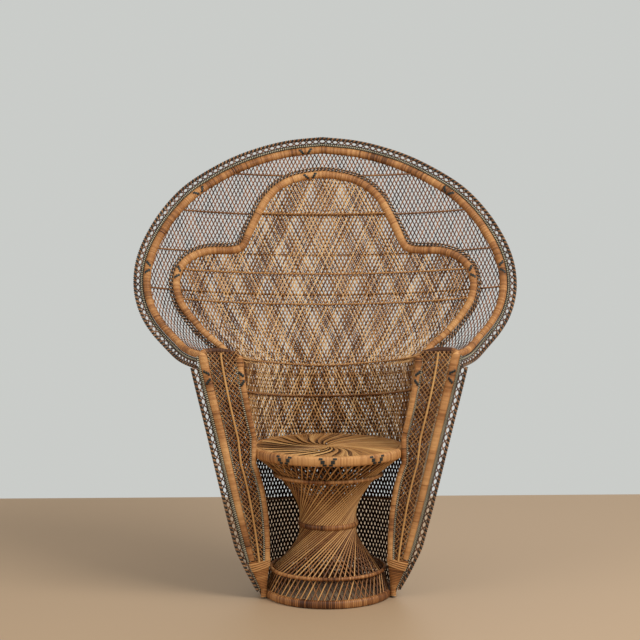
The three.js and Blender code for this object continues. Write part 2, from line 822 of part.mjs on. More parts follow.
function isInside(place, outline) {
  let inside = false;
  outline.forEach((here, i) => {
    const before = outline[(i + outline.length - 1) % outline.length];
    const crosses = (here.y > place.y) !== (before.y > place.y);
    const share = (place.y - here.y) / (before.y - here.y);
    if (crosses && place.x < mix(here.x, before.x, share)) inside = !inside;
  });
  return inside;
}

// Diamond net: crossings on rows of a flat pattern, joined by slanted strands that stop at poles
class DiamondNet {
  constructor(options) {
    Object.assign(this, options);
    this.rowHeight = this.pitch / 2 / this.slopeShare;
    this.places = [];
    this.links = [];
    this.spots = new Map();
  }

  placeAt(row, column) {
    return new THREE.Vector2((column * this.pitch) / 2, (row + this.rowShare) * this.rowHeight);
  }

  // The farthest clear share of the way from one place towards another
  reachShare(from, to) {
    const side = to.clone().sub(from).rotateAround(new THREE.Vector2(), QUARTER).setLength(this.width / 2);
    const isClearAt = (share) => {
      const middle = from.clone().lerp(to, share);
      return this.isClear(middle.clone().add(side)) && this.isClear(middle.clone().sub(side));
    };
    const steps = Math.ceil(to.distanceTo(from) / shortestStub);
    let clearSteps = 0;
    while (clearSteps < steps && isClearAt((clearSteps + 1) / steps)) clearSteps += 1;
    let [low, high] = [clearSteps / steps, Math.min((clearSteps + 1) / steps, 1)];
    while (high < 1 + clearance && (high - low) * this.pitch > clearance / 4) {
      const middle = (low + high) / 2;
      if (isClearAt(middle)) low = middle;
      else high = middle;
    }
    return low;
  }

  addSpots() {
    const columns = Math.ceil((this.halfArc * 2) / this.pitch);
    const rows = Math.ceil(this.topLevel / this.rowHeight);
    const around = [[1, 0], [-1, 0], [0, 1], [0, -1]]
      .map((pair) => new THREE.Vector2(...pair).multiplyScalar(this.crossingRoom));
    const hasRoom = (place) => around.every((offset) => this.isClear(place.clone().add(offset)));
    for (let row = 0; row <= rows; row += 1) {
      for (let column = -columns; column <= columns; column += 1) {
        const place = this.placeAt(row, column);
        if ((row + column) % 2 === 0 && hasRoom(place)) {
          this.spots.set(`${row},${column}`, { row, column, index: this.places.length });
          this.places.push(place);
        }
      }
    }
  }

  addStrands() {
    const directions = [[1, 1], [1, -1], [-1, 1], [-1, -1]];
    [...this.spots.values()].forEach(({ row, column, index }) => directions.forEach(([up, side]) => {
      const from = this.places[index];
      const target = this.placeAt(row + up, column + side);
      const along = target.clone().sub(from);
      const far = this.spots.get(`${row + up},${column + side}`);
      const share = this.reachShare(from, target);
      const isWhole = far && share > 1 - clearance / this.pitch;
      if (isWhole && up > 0) this.links.push({ from: index, to: far.index, along });
      if (isWhole) return;
      const kept = Math.min(share, stubLimitShare);
      if (along.length() * kept < this.width / 2 + shortestStub) return;
      const end = from.clone().lerp(target, kept);
      end.isLevel = end.y - this.bottomLevel < shortestStub / 2;
      this.links.push({ from: index, to: this.places.push(end) - 1, along });
    }));
  }

  // A strand up the middle of the net, through every second crossing
  addSpine() {
    this.spots.forEach(({ row, column, index }) => {
      const next = this.spots.get(`${row + 2},${column}`);
      if (column !== 0 || !next) return;
      const along = this.places[next.index].clone().sub(this.places[index]);
      this.links.push({ from: index, to: next.index, along });
    });
  }

  // Keeps the largest connected part of the net
  keepWhole() {
    const group = this.places.map((_, i) => i);
    const find = (i) => (group[i] === i ? i : find(group[i]));
    this.links.forEach(({ from, to }) => {
      group[find(from)] = find(to);
    });
    const sizes = new Map();
    group.forEach((_, i) => sizes.set(find(i), (sizes.get(find(i)) || 0) + 1));
    const [largest] = [...sizes].sort((one, other) => other[1] - one[1])[0];
    this.links = this.links.filter(({ from }) => find(from) === largest);
  }

  build() {
    this.addSpots();
    this.addStrands();
    if (this.hasSpine) this.addSpine();
    this.keepWhole();
    return this;
  }
}


function wholeOutline(half) {
  return [...half, ...half.map((place) => new THREE.Vector2(-place.x, place.y)).reverse()];
}

const outerRailPoleSize = { route: outerRailPole, halfAt: outerRailHalfThickness };
const footPole = { route: footRoute, halfAt: footHalfWidth };
const mirrorPole = ({ route, halfAt }) => ({ route: route.map(mirrored), halfAt });
const outerPoles = [
  { route: rimRoute, halfAt: () => rimWidth / 2 },
  outerRailPoleSize, mirrorPole(outerRailPoleSize), footPole, mirrorPole(footPole),
];
const innerRailSize = { route: innerRail, halfAt: () => innerRailWidth / 2 };
const innerPoles = [
  { route: cloverRoute, halfAt: () => cloverWidth / 2 },
  innerRailSize, mirrorPole(innerRailSize),
];

const outerOutline = wholeOutline([
  ...rimPlaces(60), ...levelsBetween(armTopLevel, 0, 12).map(outerRailPlace),
]);
const innerOutline = wholeOutline([
  ...cloverPlaces(60), ...levelsBetween(elbowEndLevel, innerRailHangLevel, 10).map(innerRailPlace),
]);
const innerNetFloor = seatTopLevel - seatRingHeight / 2;

const outerNet = new DiamondNet({
  crossingRoom,
  pitch: netPitch,
  slopeShare: netSlopeShare,
  rowShare: netRowShare,
  width: netStrandWidth,
  halfArc: outerRailPlace(armTopLevel).x,
  topLevel: fanTopLevel,
  bottomLevel: footGroundGap,
  isClear: (place) => place.y > footGroundGap && isInside(place, outerOutline)
    && isClearOfPoles(outerShell.point(place.x, place.y), outerPoles),
}).build();

const innerNet = new DiamondNet({
  crossingRoom,
  pitch: innerNetPitch,
  slopeShare: netSlopeShare,
  rowShare: innerNetRowShare,
  width: innerNetStrandWidth,
  halfArc: innerRailPlace(armTopLevel).x,
  topLevel: cloverTopLevel,
  bottomLevel: 0,
  isClear: (place) => {
    const at = innerShell.point(place.x, place.y);
    return at.z > innerNetFloor && isInside(place, innerOutline) && isClearOfPoles(at, innerPoles);
  },
}).build();

function buildNets() {
  addPiece('outer_net', lattice({
    ...outerNet, toStation: onOuterShell, thickness: netStrandThickness,
  }), netCane);
  addPiece('inner_net', lattice({
    ...innerNet, toStation: onInnerShell, thickness: netStrandThickness,
  }), netCane);
}

// Hoop along a row of crossings on the sitter's side of a net, cut clear of the poles
function hoopRoute(net, row, toStation, poles) {
  const inset = netStrandThickness / 2 + hoopGap + hoopRadius * slimGrow;
  const stationAt = (column) => shiftRoute([toStation(net.placeAt(row, column))], -inset)[0];
  const hoopPoles = poles.map(({ route, halfAt }) => (
    { route, halfAt: (share) => halfAt(share) + hoopRadius }
  ));
  const isClearAt = (column) => net.isClear(net.placeAt(row, column))
    && isClearOfPoles(stationAt(column).at, hoopPoles);
  let end = 0;
  while (isClearAt(end + hoopStepShare)) end += hoopStepShare;
  const count = Math.ceil(end - hoopStepShare * 2);
  const half = Array.from({ length: count }, (_, column) => stationAt(column));
  return bothHalves([...half, stationAt(end)]);
}

function buildHoops() {
  const section = ovalSection(hoopRadius * 2, hoopRadius * 2, slimSides);
  const hoop = (...place) => sweep(hoopRoute(...place), () => section);
  outerHoopRows.forEach((row, i) => {
    addPiece(`outer_hoop_${i + 1}`, hoop(outerNet, row, onOuterShell, outerPoles), pole);
  });
  innerHoopRows.forEach((row, i) => {
    addPiece(`inner_hoop_${i + 1}`, hoop(innerNet, row, onInnerShell, innerPoles), pole);
  });
}

// Flat hoop round the back of a ring, between the ring and the foot of a net
function ringHoop(ringRadius, level) {
  const radius = ringRadius + clearance + footHoopWidth / 2;
  const route = Array.from({ length: ringHoopFacets * 2 + 1 }, (_, i) => {
    const angle = QUARTER + ((i - ringHoopFacets) * TURN) / ringSides;
    const out = new THREE.Vector3(Math.cos(angle), Math.sin(angle), 0);
    return { at: out.clone().multiplyScalar(radius).setZ(level), out };
  });
  return sweep(route, () => stripSection(footHoopHeight, footHoopWidth));
}

function buildRingHoops() {
  const seatHoopLevel = seatTopLevel - seatRingHeight / 2 + roundCorner;
  addPiece('shell_foot_hoop', ringHoop(baseRingOuterRadius, baseRingHeight / 2), pole);
  addPiece('seat_back_hoop', ringHoop(seatRingOuterRadius, seatHoopLevel), pole);
}

// Front panel of an arm: x runs from the inner rail to the outer rail, y is the height
function placeAtHeight(route, height) {
  const after = Math.min(Math.max(route.findIndex(({ at }) => at.z > height), 1), route.length - 1);
  const index = height > route[route.length - 1].at.z ? route.length - 1 : after;
  const { at: low } = route[index - 1];
  const { at: high } = route[index];
  return low.clone().lerp(high, (height - low.z) / (high.z - low.z));
}

function armPoint(x, height) {
  const inner = placeAtHeight(innerRail, height);
  const outer = placeAtHeight(outerRail, height);
  const width = outer.distanceTo(inner);
  const share = 1 / 2 + x / width;
  const bulge = armBulge * (width / (armHalfWidth - innerArmHalfWidth)) * share * (1 - share) * 4;
  return inner.lerp(outer, share).add(new THREE.Vector3(0, -bulge, 0));
}

function armStation(place, offset = new THREE.Vector2()) {
  const x = place.x + offset.x;
  const height = place.y + offset.y;
  const across = armPoint(x + clearance, height).sub(armPoint(x - clearance, height));
  const up = armPoint(x, height + clearance).sub(armPoint(x, height - clearance));
  return { at: armPoint(x, height), out: across.cross(up).normalize() };
}

const armPoles = [
  { route: outerRailPole, halfAt: (share) => outerRailHalfWidth(share) * poleGrow },
  { route: innerRail, halfAt: () => (innerRailWidth / 2) * poleGrow },
  { route: cloverRoute, halfAt: () => (cloverWidth / 2) * poleGrow },
];
const armNetFloor = footTopLevel + roundCorner;
const armNetTop = outerRail[outerRail.length - 1].at.z;

const armNet = new DiamondNet({
  hasSpine: true,
  crossingRoom: armStrandWidth,
  pitch: armNetPitch,
  slopeShare: armNetSlopeShare,
  rowShare: 0,
  width: armStrandWidth,
  halfArc: armHalfWidth - innerArmHalfWidth,
  topLevel: armNetTop,
  bottomLevel: armNetFloor,
  isClear: (place) => place.y > armNetFloor && place.y < armNetTop
    && isClearOfPoles(armPoint(place.x, place.y), armPoles)
    && Math.abs(place.x) < armPanelHalfWidth(place.y),
}).build();

function armPanelHalfWidth(height) {
  return placeAtHeight(outerRail, height).distanceTo(placeAtHeight(innerRail, height)) / 2;
}

function spineRoute() {
  const lift = armStrandThickness / 2 + spineGap + spineRadius * slimGrow;
  const step = armNet.rowHeight * 2;
  const heights = [armNetFloor];
  for (let height = step; height < armNetTop; height += step) {
    if (height > armNetFloor + clearance) heights.push(height);
  }
  return shiftRoute(heights.map((height) => armStation(new THREE.Vector2(0, height))), lift);
}

function buildArmPanels() {
  forEachSide((side, flip) => {
    addPiece(`arm_panel_${side}`, lattice({
      ...armNet, toStation: (...place) => flip(armStation(...place)), thickness: armStrandThickness,
    }), netCane);
    addPiece(`arm_spine_${side}`, sweep(
      spineRoute().map(flip), () => ovalSection(spineRadius * 2, spineRadius * 2, slimSides),
    ), paleCane);
  });
}

// Openwork border along an edge: a zigzag strand that touches the edge, and an outer strand
function laceBorder(edge, reachAt, flip = (station) => station) {
  const length = routeLength(edge);
  const teeth = Math.round(length / lacePitch);
  const step = length / teeth;
  const near = clearance + laceStrandWidth / 2;
  const farAt = (tooth) => reachAt(tooth * step) - laceStrandWidth / 2;
  const outerPlaces = Array.from({ length: teeth + 1 }, (_, i) => new THREE.Vector2(i * step, farAt(i)));
  const innerPlaces = Array.from({ length: teeth }, (_, i) => new THREE.Vector2((i + 1 / 2) * step, near));
  const links = [];
  for (let i = 0; i < teeth; i += 1) {
    const inner = teeth + 1 + i;
    links.push({ from: i, to: inner, along: new THREE.Vector2(step / 2, near - farAt(i)) });
    links.push({ from: inner, to: i + 1, along: new THREE.Vector2(step / 2, farAt(i + 1) - near) });
    links.push({ from: i, to: i + 1, along: new THREE.Vector2(step, farAt(i + 1) - farAt(i)) });
  }
  const toStation = (place, offset) => {
    const { at, out } = stationAlong(edge, place.x + offset.x);
    const along = stationAlong(edge, place.x + offset.x + clearance).at
      .sub(stationAlong(edge, place.x + offset.x - clearance).at);
    return flip({
      at: at.clone().addScaledVector(out, place.y + offset.y),
      out: along.cross(out).normalize(),
    });
  };
  return lattice({
    places: [...outerPlaces, ...innerPlaces],
    links,
    toStation,
    width: laceStrandWidth,
    thickness: laceStrandThickness,
  });
}

// The edge of a pole that a viewer in front sees outermost; its stations point away from the pole
function frontEdge(route, halfAt, hand = 1) {
  const front = new THREE.Vector3(0, hand, 0);
  return route.map(({ at }, i) => {
    const out = routeTangent(route, i).cross(front).normalize();
    return { at: at.clone().addScaledVector(out, halfAt(i / (route.length - 1)) * poleGrow), out };
  });
}

function buildLace() {
  const rimEdge = frontEdge(rimRoute, () => rimWidth / 2);
  const cloverEdge = frontEdge(cloverRoute, () => cloverWidth / 2);
  const railHalf = (share) => mix(outerRailFootWidth, outerRailTopWidth, share) / 2;
  const railEdge = frontEdge(outerRail, railHalf, -1);
  const away = new THREE.Vector3(1, 0, 0);
  const footEdge = footRoute.slice(1, 3).map(({ at }, i) => {
    const half = footHalfWidth((i + 1) / (footRoute.length - 1)) * poleGrow;
    return { at: at.clone().addScaledVector(away, half), out: away };
  });
  const armEdge = trimRoute([...footEdge, ...railEdge], 0, laceCornerCut);
  const fanEdge = trimRoute(rimEdge, laceCornerCut, laceCornerCut);
  const narrowing = (distance) => mix(laceFootReach, laceReach, Math.min(distance / laceNarrowing, 1));
  addPiece('fan_lace', laceBorder(fanEdge, () => laceReach), laceCane);
  addPiece('clover_lace', laceBorder(
    trimRoute(cloverEdge, cloverLaceCut, cloverLaceCut), () => cloverLaceReach,
  ), laceCane);
  forEachSide((side, flip) => {
    addPiece(`arm_lace_${side}`, laceBorder(armEdge, narrowing, flip), laceCane);
  });
}

buildRings();
buildPedestalStrands();
buildSeatDeck();
buildSeatBars();
buildPoles();
buildFeet();
buildNets();
buildHoops();
buildRingHoops();
buildArmPanels();
buildLace();

// The origin lies under the middle of the whole chair
const bounds = new THREE.Box3().setFromObject(chair);
chair.position.y = -(bounds.min.y + bounds.max.y) / 2;

export default chair;
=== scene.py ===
"""Looks of a rattan peacock chair: wound poles and rings, woven nets, openwork borders and a
swirled seat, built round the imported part. Metres, +Z up, -Y is the front."""
import logging
import math
from dataclasses import dataclass, field
from enum import Enum
from typing import Callable, Iterable

import bpy
import numpy as np
from mathutils import Euler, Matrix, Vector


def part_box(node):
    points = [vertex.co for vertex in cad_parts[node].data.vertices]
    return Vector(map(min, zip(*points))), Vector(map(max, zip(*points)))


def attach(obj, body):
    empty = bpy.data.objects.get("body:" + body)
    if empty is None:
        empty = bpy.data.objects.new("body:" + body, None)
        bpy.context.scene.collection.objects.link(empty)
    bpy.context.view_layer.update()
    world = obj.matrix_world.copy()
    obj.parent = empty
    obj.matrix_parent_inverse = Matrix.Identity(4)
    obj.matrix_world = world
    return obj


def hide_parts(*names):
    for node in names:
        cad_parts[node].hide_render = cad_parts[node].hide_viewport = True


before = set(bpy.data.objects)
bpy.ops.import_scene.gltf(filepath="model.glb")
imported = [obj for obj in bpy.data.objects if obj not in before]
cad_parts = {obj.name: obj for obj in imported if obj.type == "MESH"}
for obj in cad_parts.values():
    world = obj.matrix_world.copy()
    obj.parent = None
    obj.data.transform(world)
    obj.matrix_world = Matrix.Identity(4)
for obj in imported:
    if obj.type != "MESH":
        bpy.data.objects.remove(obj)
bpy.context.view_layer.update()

log = logging.getLogger("chair")

Array = np.ndarray
Colour = tuple[float, float, float]
ROOT = "root"
TURN = 2 * math.pi
QUARTER = math.pi / 2
HARD_EDGE = math.radians(50)
AXIS_Y = float(sum(corner.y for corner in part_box("base_ring"))) / 2


class Side(Enum):
    """The two arms, with the sign of X on each."""

    RIGHT = 1
    LEFT = -1

    @property
    def label(self) -> str:
        """The side's name in node and piece names."""
        return self.name.lower()


class Lean(Enum):
    """The two directions in which the strands of a net slant, seen from the front."""

    RIGHT = 1
    LEFT = -1


def mix(start: Array | float, end: Array | float, share: Array | float) -> Array:
    """Straight blend between two values."""
    return start + (end - start) * share


def ease_out(share: Array | float) -> Array:
    """Fast start and slow end, held between 0 and 1."""
    held = np.clip(share, 0, 1)
    return 1 - (1 - held) ** 2


def ease_both(share: Array | float) -> Array:
    """Slow start and slow end, held between 0 and 1."""
    held = np.clip(share, 0, 1)
    return held * held * (3 - 2 * held)


def unit(vectors: Array) -> Array:
    """Vectors scaled to length 1 along the last axis."""
    return vectors / np.maximum(np.linalg.norm(vectors, axis=-1, keepdims=True), 1e-12)


def smooth_noise(count: int, reach: float, rng: np.random.Generator) -> Array:
    """A slowly wandering value for each step of a row.

    Args:
        count: how many steps the row has.
        reach: how many steps one swell lasts.
        rng: seeded source of the swells.

    Returns:
        Values between -1 and 1.
    """
    knots = rng.uniform(-1, 1, int(count / reach) + 3)
    return np.interp(np.arange(count) / reach, np.arange(len(knots)), knots)


def read_off(wanted: Array, known: Array, rows: Array) -> Array:
    """Rows of values at wanted positions, straight between those at the known positions."""
    return np.stack([np.interp(wanted, known, column) for column in rows.T], -1)


def bend(start: Array, middle: Array, end: Array, share: Array) -> Array:
    """Points of a curve from start to end that is pulled towards middle."""
    return start * (1 - share) ** 2 + middle * 2 * share * (1 - share) + end * share ** 2


def runs(kept: Array) -> Iterable[slice]:
    """Stretches of a row where more than two neighbours are kept.

    Args:
        kept: whether each place of the row is kept.

    Yields:
        Each stretch, as a slice of the row.
    """
    edges = np.flatnonzero(np.diff(np.concatenate([[0], kept.astype(int), [0]])))
    for first, end in zip(edges[::2], edges[1::2]):
        if end - first > 2:
            yield slice(first, end)


def small_steps(surface: Callable[[Array, Array], Array], first: Array,
                second: Array) -> tuple[Array, Array]:
    """Small steps over a surface, from which its slope follows.

    Args:
        surface: gives the places for two coordinates.
        first: first coordinate of each place.
        second: second coordinate of each place.

    Returns:
        The step along the first coordinate and the step along the second.
    """
    step = 0.0003
    return (surface(first + step, second) - surface(first - step, second),
            surface(first, second + step) - surface(first, second - step))


@dataclass
class Route:
    """A chain of stations: places in space and the direction out of the surface there."""

    at: Array
    out: Array

    def distances(self) -> Array:
        """Distance of each station from the start."""
        steps = np.linalg.norm(np.diff(self.at, axis=0), axis=1)
        return np.concatenate([[0.0], np.cumsum(steps)])

    def length(self) -> float:
        """Length of the whole route."""
        return float(self.distances()[-1])

    def at_distances(self, wanted: Array) -> "Route":
        """Stations at the wanted distances from the start."""
        known = self.distances()
        return Route(read_off(wanted, known, self.at), unit(read_off(wanted, known, self.out)))

    def part(self, start: float, end: float, step: float) -> "Route":
        """Evenly spaced stations from one distance to another."""
        count = max(int(round((end - start) / step)), 1)
        return self.at_distances(np.linspace(start, end, count + 1))

    def mirrored(self) -> "Route":
        """The same route on the other side of the chair."""
        flip = np.array([-1.0, 1.0, 1.0])
        return Route(self.at * flip, self.out * flip)

    def flipped_for(self, side: Side) -> "Route":
        """This right-hand route, or its mirror image for the left side."""
        return self if side is Side.RIGHT else self.mirrored()

    def joined(self, other: "Route") -> "Route":
        """This route followed by another."""
        return Route(np.vstack([self.at, other.at]), np.vstack([self.out, other.out]))

    def both_halves(self) -> "Route":
        """A right-hand half from the top down, joined to its mirror image."""
        other = self.mirrored()
        return Route(other.at[::-1], other.out[::-1]).joined(Route(self.at[1:], self.out[1:]))

    def frames(self) -> tuple[Array, Array, Array]:
        """Directions at each station.

        Returns:
            Unit vectors along the route, across it, and out of the surface square to it.
        """
        along = unit(np.gradient(self.at, axis=0))
        across = unit(np.cross(along, self.out))
        return along, across, unit(np.cross(across, along))

    def moved(self, across: Array | float, lift: Array | float) -> "Route":
        """The route moved off its line.

        Args:
            across: how far it moves sideways, for all or for each station.
            lift: how far it moves out of the surface, for all or for each station.

        Returns:
            The moved route, with the same out directions.
        """
        _, side, up = self.frames()
        across_column = np.broadcast_to(across, (len(self.at),))[:, None]
        lift_column = np.broadcast_to(lift, (len(self.at),))[:, None]
        return Route(self.at + side * across_column + up * lift_column, self.out)


class MeshDraft:
    """Collects grids of points into one mesh, with what the finishes read at each point:
    shade, dye, and the lay of the strand as distance along it and round it."""

    def __init__(self) -> None:
        """Starts empty."""
        self.points: list[Array] = []
        self.corners: list[Array] = []
        self.face_sizes: list[Array] = []
        self.marks: list[Array] = []
        self.count = 0

    def add_grid(self, grid: Array, shade: Array | float = 0.5, dye: Array | float = 0.0,
                 lay: tuple[Array, Array] | None = None, closed: bool = False) -> None:
        """Adds a tube: rings of points, with faces between neighbouring rings.

        Args:
            grid: places, rings by sides by 3.
            shade: lightness of the cane with painted shade and highlights added, for the whole tube,
                each ring or each point.
            dye: share of black dye, for the whole tube, each ring or each point.
            lay: distance along for each ring and distance round for each side.
            closed: whether the last ring joins the first; otherwise both ends get a cap.
        """
        rings, sides = grid.shape[:2]
        index = np.arange(rings * sides).reshape(rings, sides) + self.count
        turned = np.roll(index, -1, axis=1)
        if closed:
            first, second = (index, turned), (np.roll(index, -1, 0), np.roll(turned, -1, 0))
        else:
            first, second = (index[:-1], turned[:-1]), (index[1:], turned[1:])
        quads = np.stack([first[0], first[1], second[1], second[0]], -1).reshape(-1, 4)
        self.corners.append(quads.ravel())
        self.face_sizes.append(np.full(len(quads), 4))
        if not closed:
            self.corners.append(np.concatenate([index[0][::-1], index[-1]]))
            self.face_sizes.append(np.array([sides, sides]))
        self.points.append(grid.reshape(-1, 3))
        self.marks.append(self.marks_for(rings, sides, shade, dye, lay))
        self.count += rings * sides

    @staticmethod
    def marks_for(rings: int, sides: int, shade: Array | float, dye: Array | float,
                  lay: tuple[Array, Array] | None) -> Array:
        """What the finishes read at each point of a tube.

        Args:
            rings: how many rings the tube has.
            sides: how many points a ring has.
            shade: as in add_grid.
            dye: as in add_grid.
            lay: as in add_grid.

        Returns:
            Shade, dye, distance along and distance round, a row for each point.
        """
        full = (rings, sides)
        columns = []
        for value in (shade, dye):
            value = np.asarray(value, float)
            columns.append(np.broadcast_to(value[:, None] if value.ndim == 1 else value, full))
        along, around = lay if lay is not None else (np.zeros(rings), np.zeros(sides))
        columns.append(np.broadcast_to(np.asarray(along)[:, None], full))
        columns.append(np.broadcast_to(np.asarray(around)[None, :], full))
        return np.stack(columns, -1).reshape(-1, 4)

    def add_sweep(self, route: Route, section: Array, shade: Array | float = 0.5,
                  dye: Array | float = 0.0) -> None:
        """Sweeps a section along a route.

        Args:
            route: the stations that the section follows.
            section: across and lift of each corner, sides by 2, or rings by sides by 2.
            shade: as in add_grid.
            dye: as in add_grid.
        """
        _, across, lift = route.frames()
        section = np.broadcast_to(section, (len(route.at), *section.shape[-2:]))
        grid = (route.at[:, None] + across[:, None] * section[..., :1]
                + lift[:, None] * section[..., 1:])
        edge = np.linalg.norm(np.diff(section[0], axis=0, append=section[0][:1]), axis=1)
        self.add_grid(grid, shade, dye, (route.distances(), np.cumsum(edge)))

    def build(self, name: str, finish: "CaneFinish", slot: str,
              replaces: Iterable[str] = ()) -> None:
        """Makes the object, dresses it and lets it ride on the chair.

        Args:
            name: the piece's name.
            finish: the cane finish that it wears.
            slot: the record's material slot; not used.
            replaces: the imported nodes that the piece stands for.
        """
        mesh = bpy.data.meshes.new(name)
        points = np.concatenate(self.points) + np.array([0.0, AXIS_Y, 0.0])
        corners = np.concatenate(self.corners)
        sizes = np.concatenate(self.face_sizes)
        mesh.vertices.add(len(points))
        mesh.vertices.foreach_set("co", points.astype(np.float32).ravel())
        mesh.loops.add(len(corners))
        mesh.loops.foreach_set("vertex_index", corners.astype(np.int32))
        mesh.polygons.add(len(sizes))
        mesh.polygons.foreach_set("loop_start", (np.cumsum(sizes) - sizes).astype(np.int32))
        mesh.update(calc_edges=True)
        mesh.validate()
        mesh.shade_smooth()
        mesh.set_sharp_from_angle(angle=HARD_EDGE)
        marks = np.concatenate(self.marks).astype(np.float32)
        for column, label in enumerate(("shade", "dye")):
            attribute = mesh.attributes.new(label, "FLOAT", "POINT")
            attribute.data.foreach_set("value", marks[:, column])
        lay = np.zeros((len(marks), 3), np.float32)
        lay[:, :2] = marks[:, 2:]
        attribute = mesh.attributes.new("lay", "FLOAT_VECTOR", "POINT")
        attribute.data.foreach_set("vector", lay.ravel())
        mesh.materials.append(finish.material())
        piece = bpy.data.objects.new(name, mesh)
        bpy.context.scene.collection.objects.link(piece)
        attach(piece, ROOT)
        if replaces:
            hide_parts(*replaces)
        log.info("%s: %d faces", name, len(sizes))


def oval(half_wide: float, half_deep: float, sides: int) -> Array:
    """Corners of an oval section, across and lift."""
    angles = TURN * np.arange(sides) / sides
    return np.stack([half_wide * np.cos(angles), half_deep * np.sin(angles)], 1)


def flat_strand(width: float, thickness: float) -> Array:
    """Section of a flat strand of cane with softened edges, domed on its outer face.

    Args:
        width: the strand's full width.
        thickness: its thickness at the middle.

    Returns:
        Corners of the section, across and lift.
    """
    edge_drop = thickness * 0.3
    shoulder_out, shoulder_up = width * 0.36, thickness * 0.36
    return np.array([
        [width / 2, -edge_drop], [shoulder_out, shoulder_up], [0, thickness / 2],
        [-shoulder_out, shoulder_up], [-width / 2, -edge_drop], [0, -thickness / 2],
    ])


def diamond_strand(width: float, thickness: float) -> Array:
    """Plain four-sided section for the many fine strands of a net."""
    return np.array([[width / 2, 0], [0, thickness / 2], [-width / 2, 0], [0, -thickness / 2]])


@dataclass(frozen=True)
class CaneFinish:
    """Split or peeled cane: three tones picked by each strand's shade, fibres along the strand,
    and black dye where the strand is dyed."""

    name: str
    dark: Colour
    middle: Colour
    light: Colour
    dyed: Colour = (0.018, 0.022, 0.02)
    roughness: float = 0.5
    specular: float = 0.28
    fibre_scale: float = 900.0
    fibre_stretch: float = 0.06
    fibre_tone: float = 0.34
    fibre_roughness: float = 0.25
    blotch_scale: float = 14.0
    blotch_tone: float = 0.5
    blotch_roughness: float = 0.1
    noise_detail: float = 3.0
    noise_roughness: float = 0.6
    tone_offset: float = -0.42
    roughness_offset: float = -0.17
    bump: float = 0.25
    bump_distance: float = 0.0004

    def material(self) -> bpy.types.Material:
        """The finish as a node material, made once."""
        made = bpy.data.materials.get(self.name)
        return made if made else self.make()

    def make(self) -> bpy.types.Material:
        """Builds the node material.

        Returns:
            The new material.
        """
        nodes = NodeMaker(self.name)
        stretch = nodes.add("ShaderNodeVectorMath", operation="MULTIPLY")
        nodes.link(nodes.attribute("lay", "Vector"), stretch.inputs[0])
        stretch.inputs[1].default_value = (self.fibre_stretch, 1.0, 1.0)
        place = nodes.add("ShaderNodeTexCoord").outputs["Object"]
        fibre, blotch = (nodes.noise(scale, self.noise_detail, self.noise_roughness, vector)
                         for scale, vector in ((self.fibre_scale, stretch.outputs[0]),
                                               (self.blotch_scale, place)))
        tone = nodes.sum_of([(nodes.attribute("shade", "Fac"), 1.0), (fibre, self.fibre_tone),
                             (blotch, self.blotch_tone)], self.tone_offset)
        dyed = nodes.add("ShaderNodeMix", data_type="RGBA")
        factor, plain_colour, dyed_colour = (dyed.inputs[number] for number in (0, 6, 7))
        nodes.link(nodes.attribute("dye", "Fac"), factor)
        nodes.link(nodes.ramp(tone, self.dark, self.middle, self.light), plain_colour)
        dyed_colour.default_value = (*self.dyed, 1)
        nodes.link(dyed.outputs[2], nodes.shader.inputs["Base Color"])
        rough = nodes.sum_of([(fibre, self.fibre_roughness), (blotch, self.blotch_roughness)],
                             self.roughness + self.roughness_offset)
        nodes.link(rough, nodes.shader.inputs["Roughness"])
        nodes.bump(fibre, self.bump, self.bump_distance)
        nodes.shader.inputs["Specular IOR Level"].default_value = self.specular
        return nodes.material


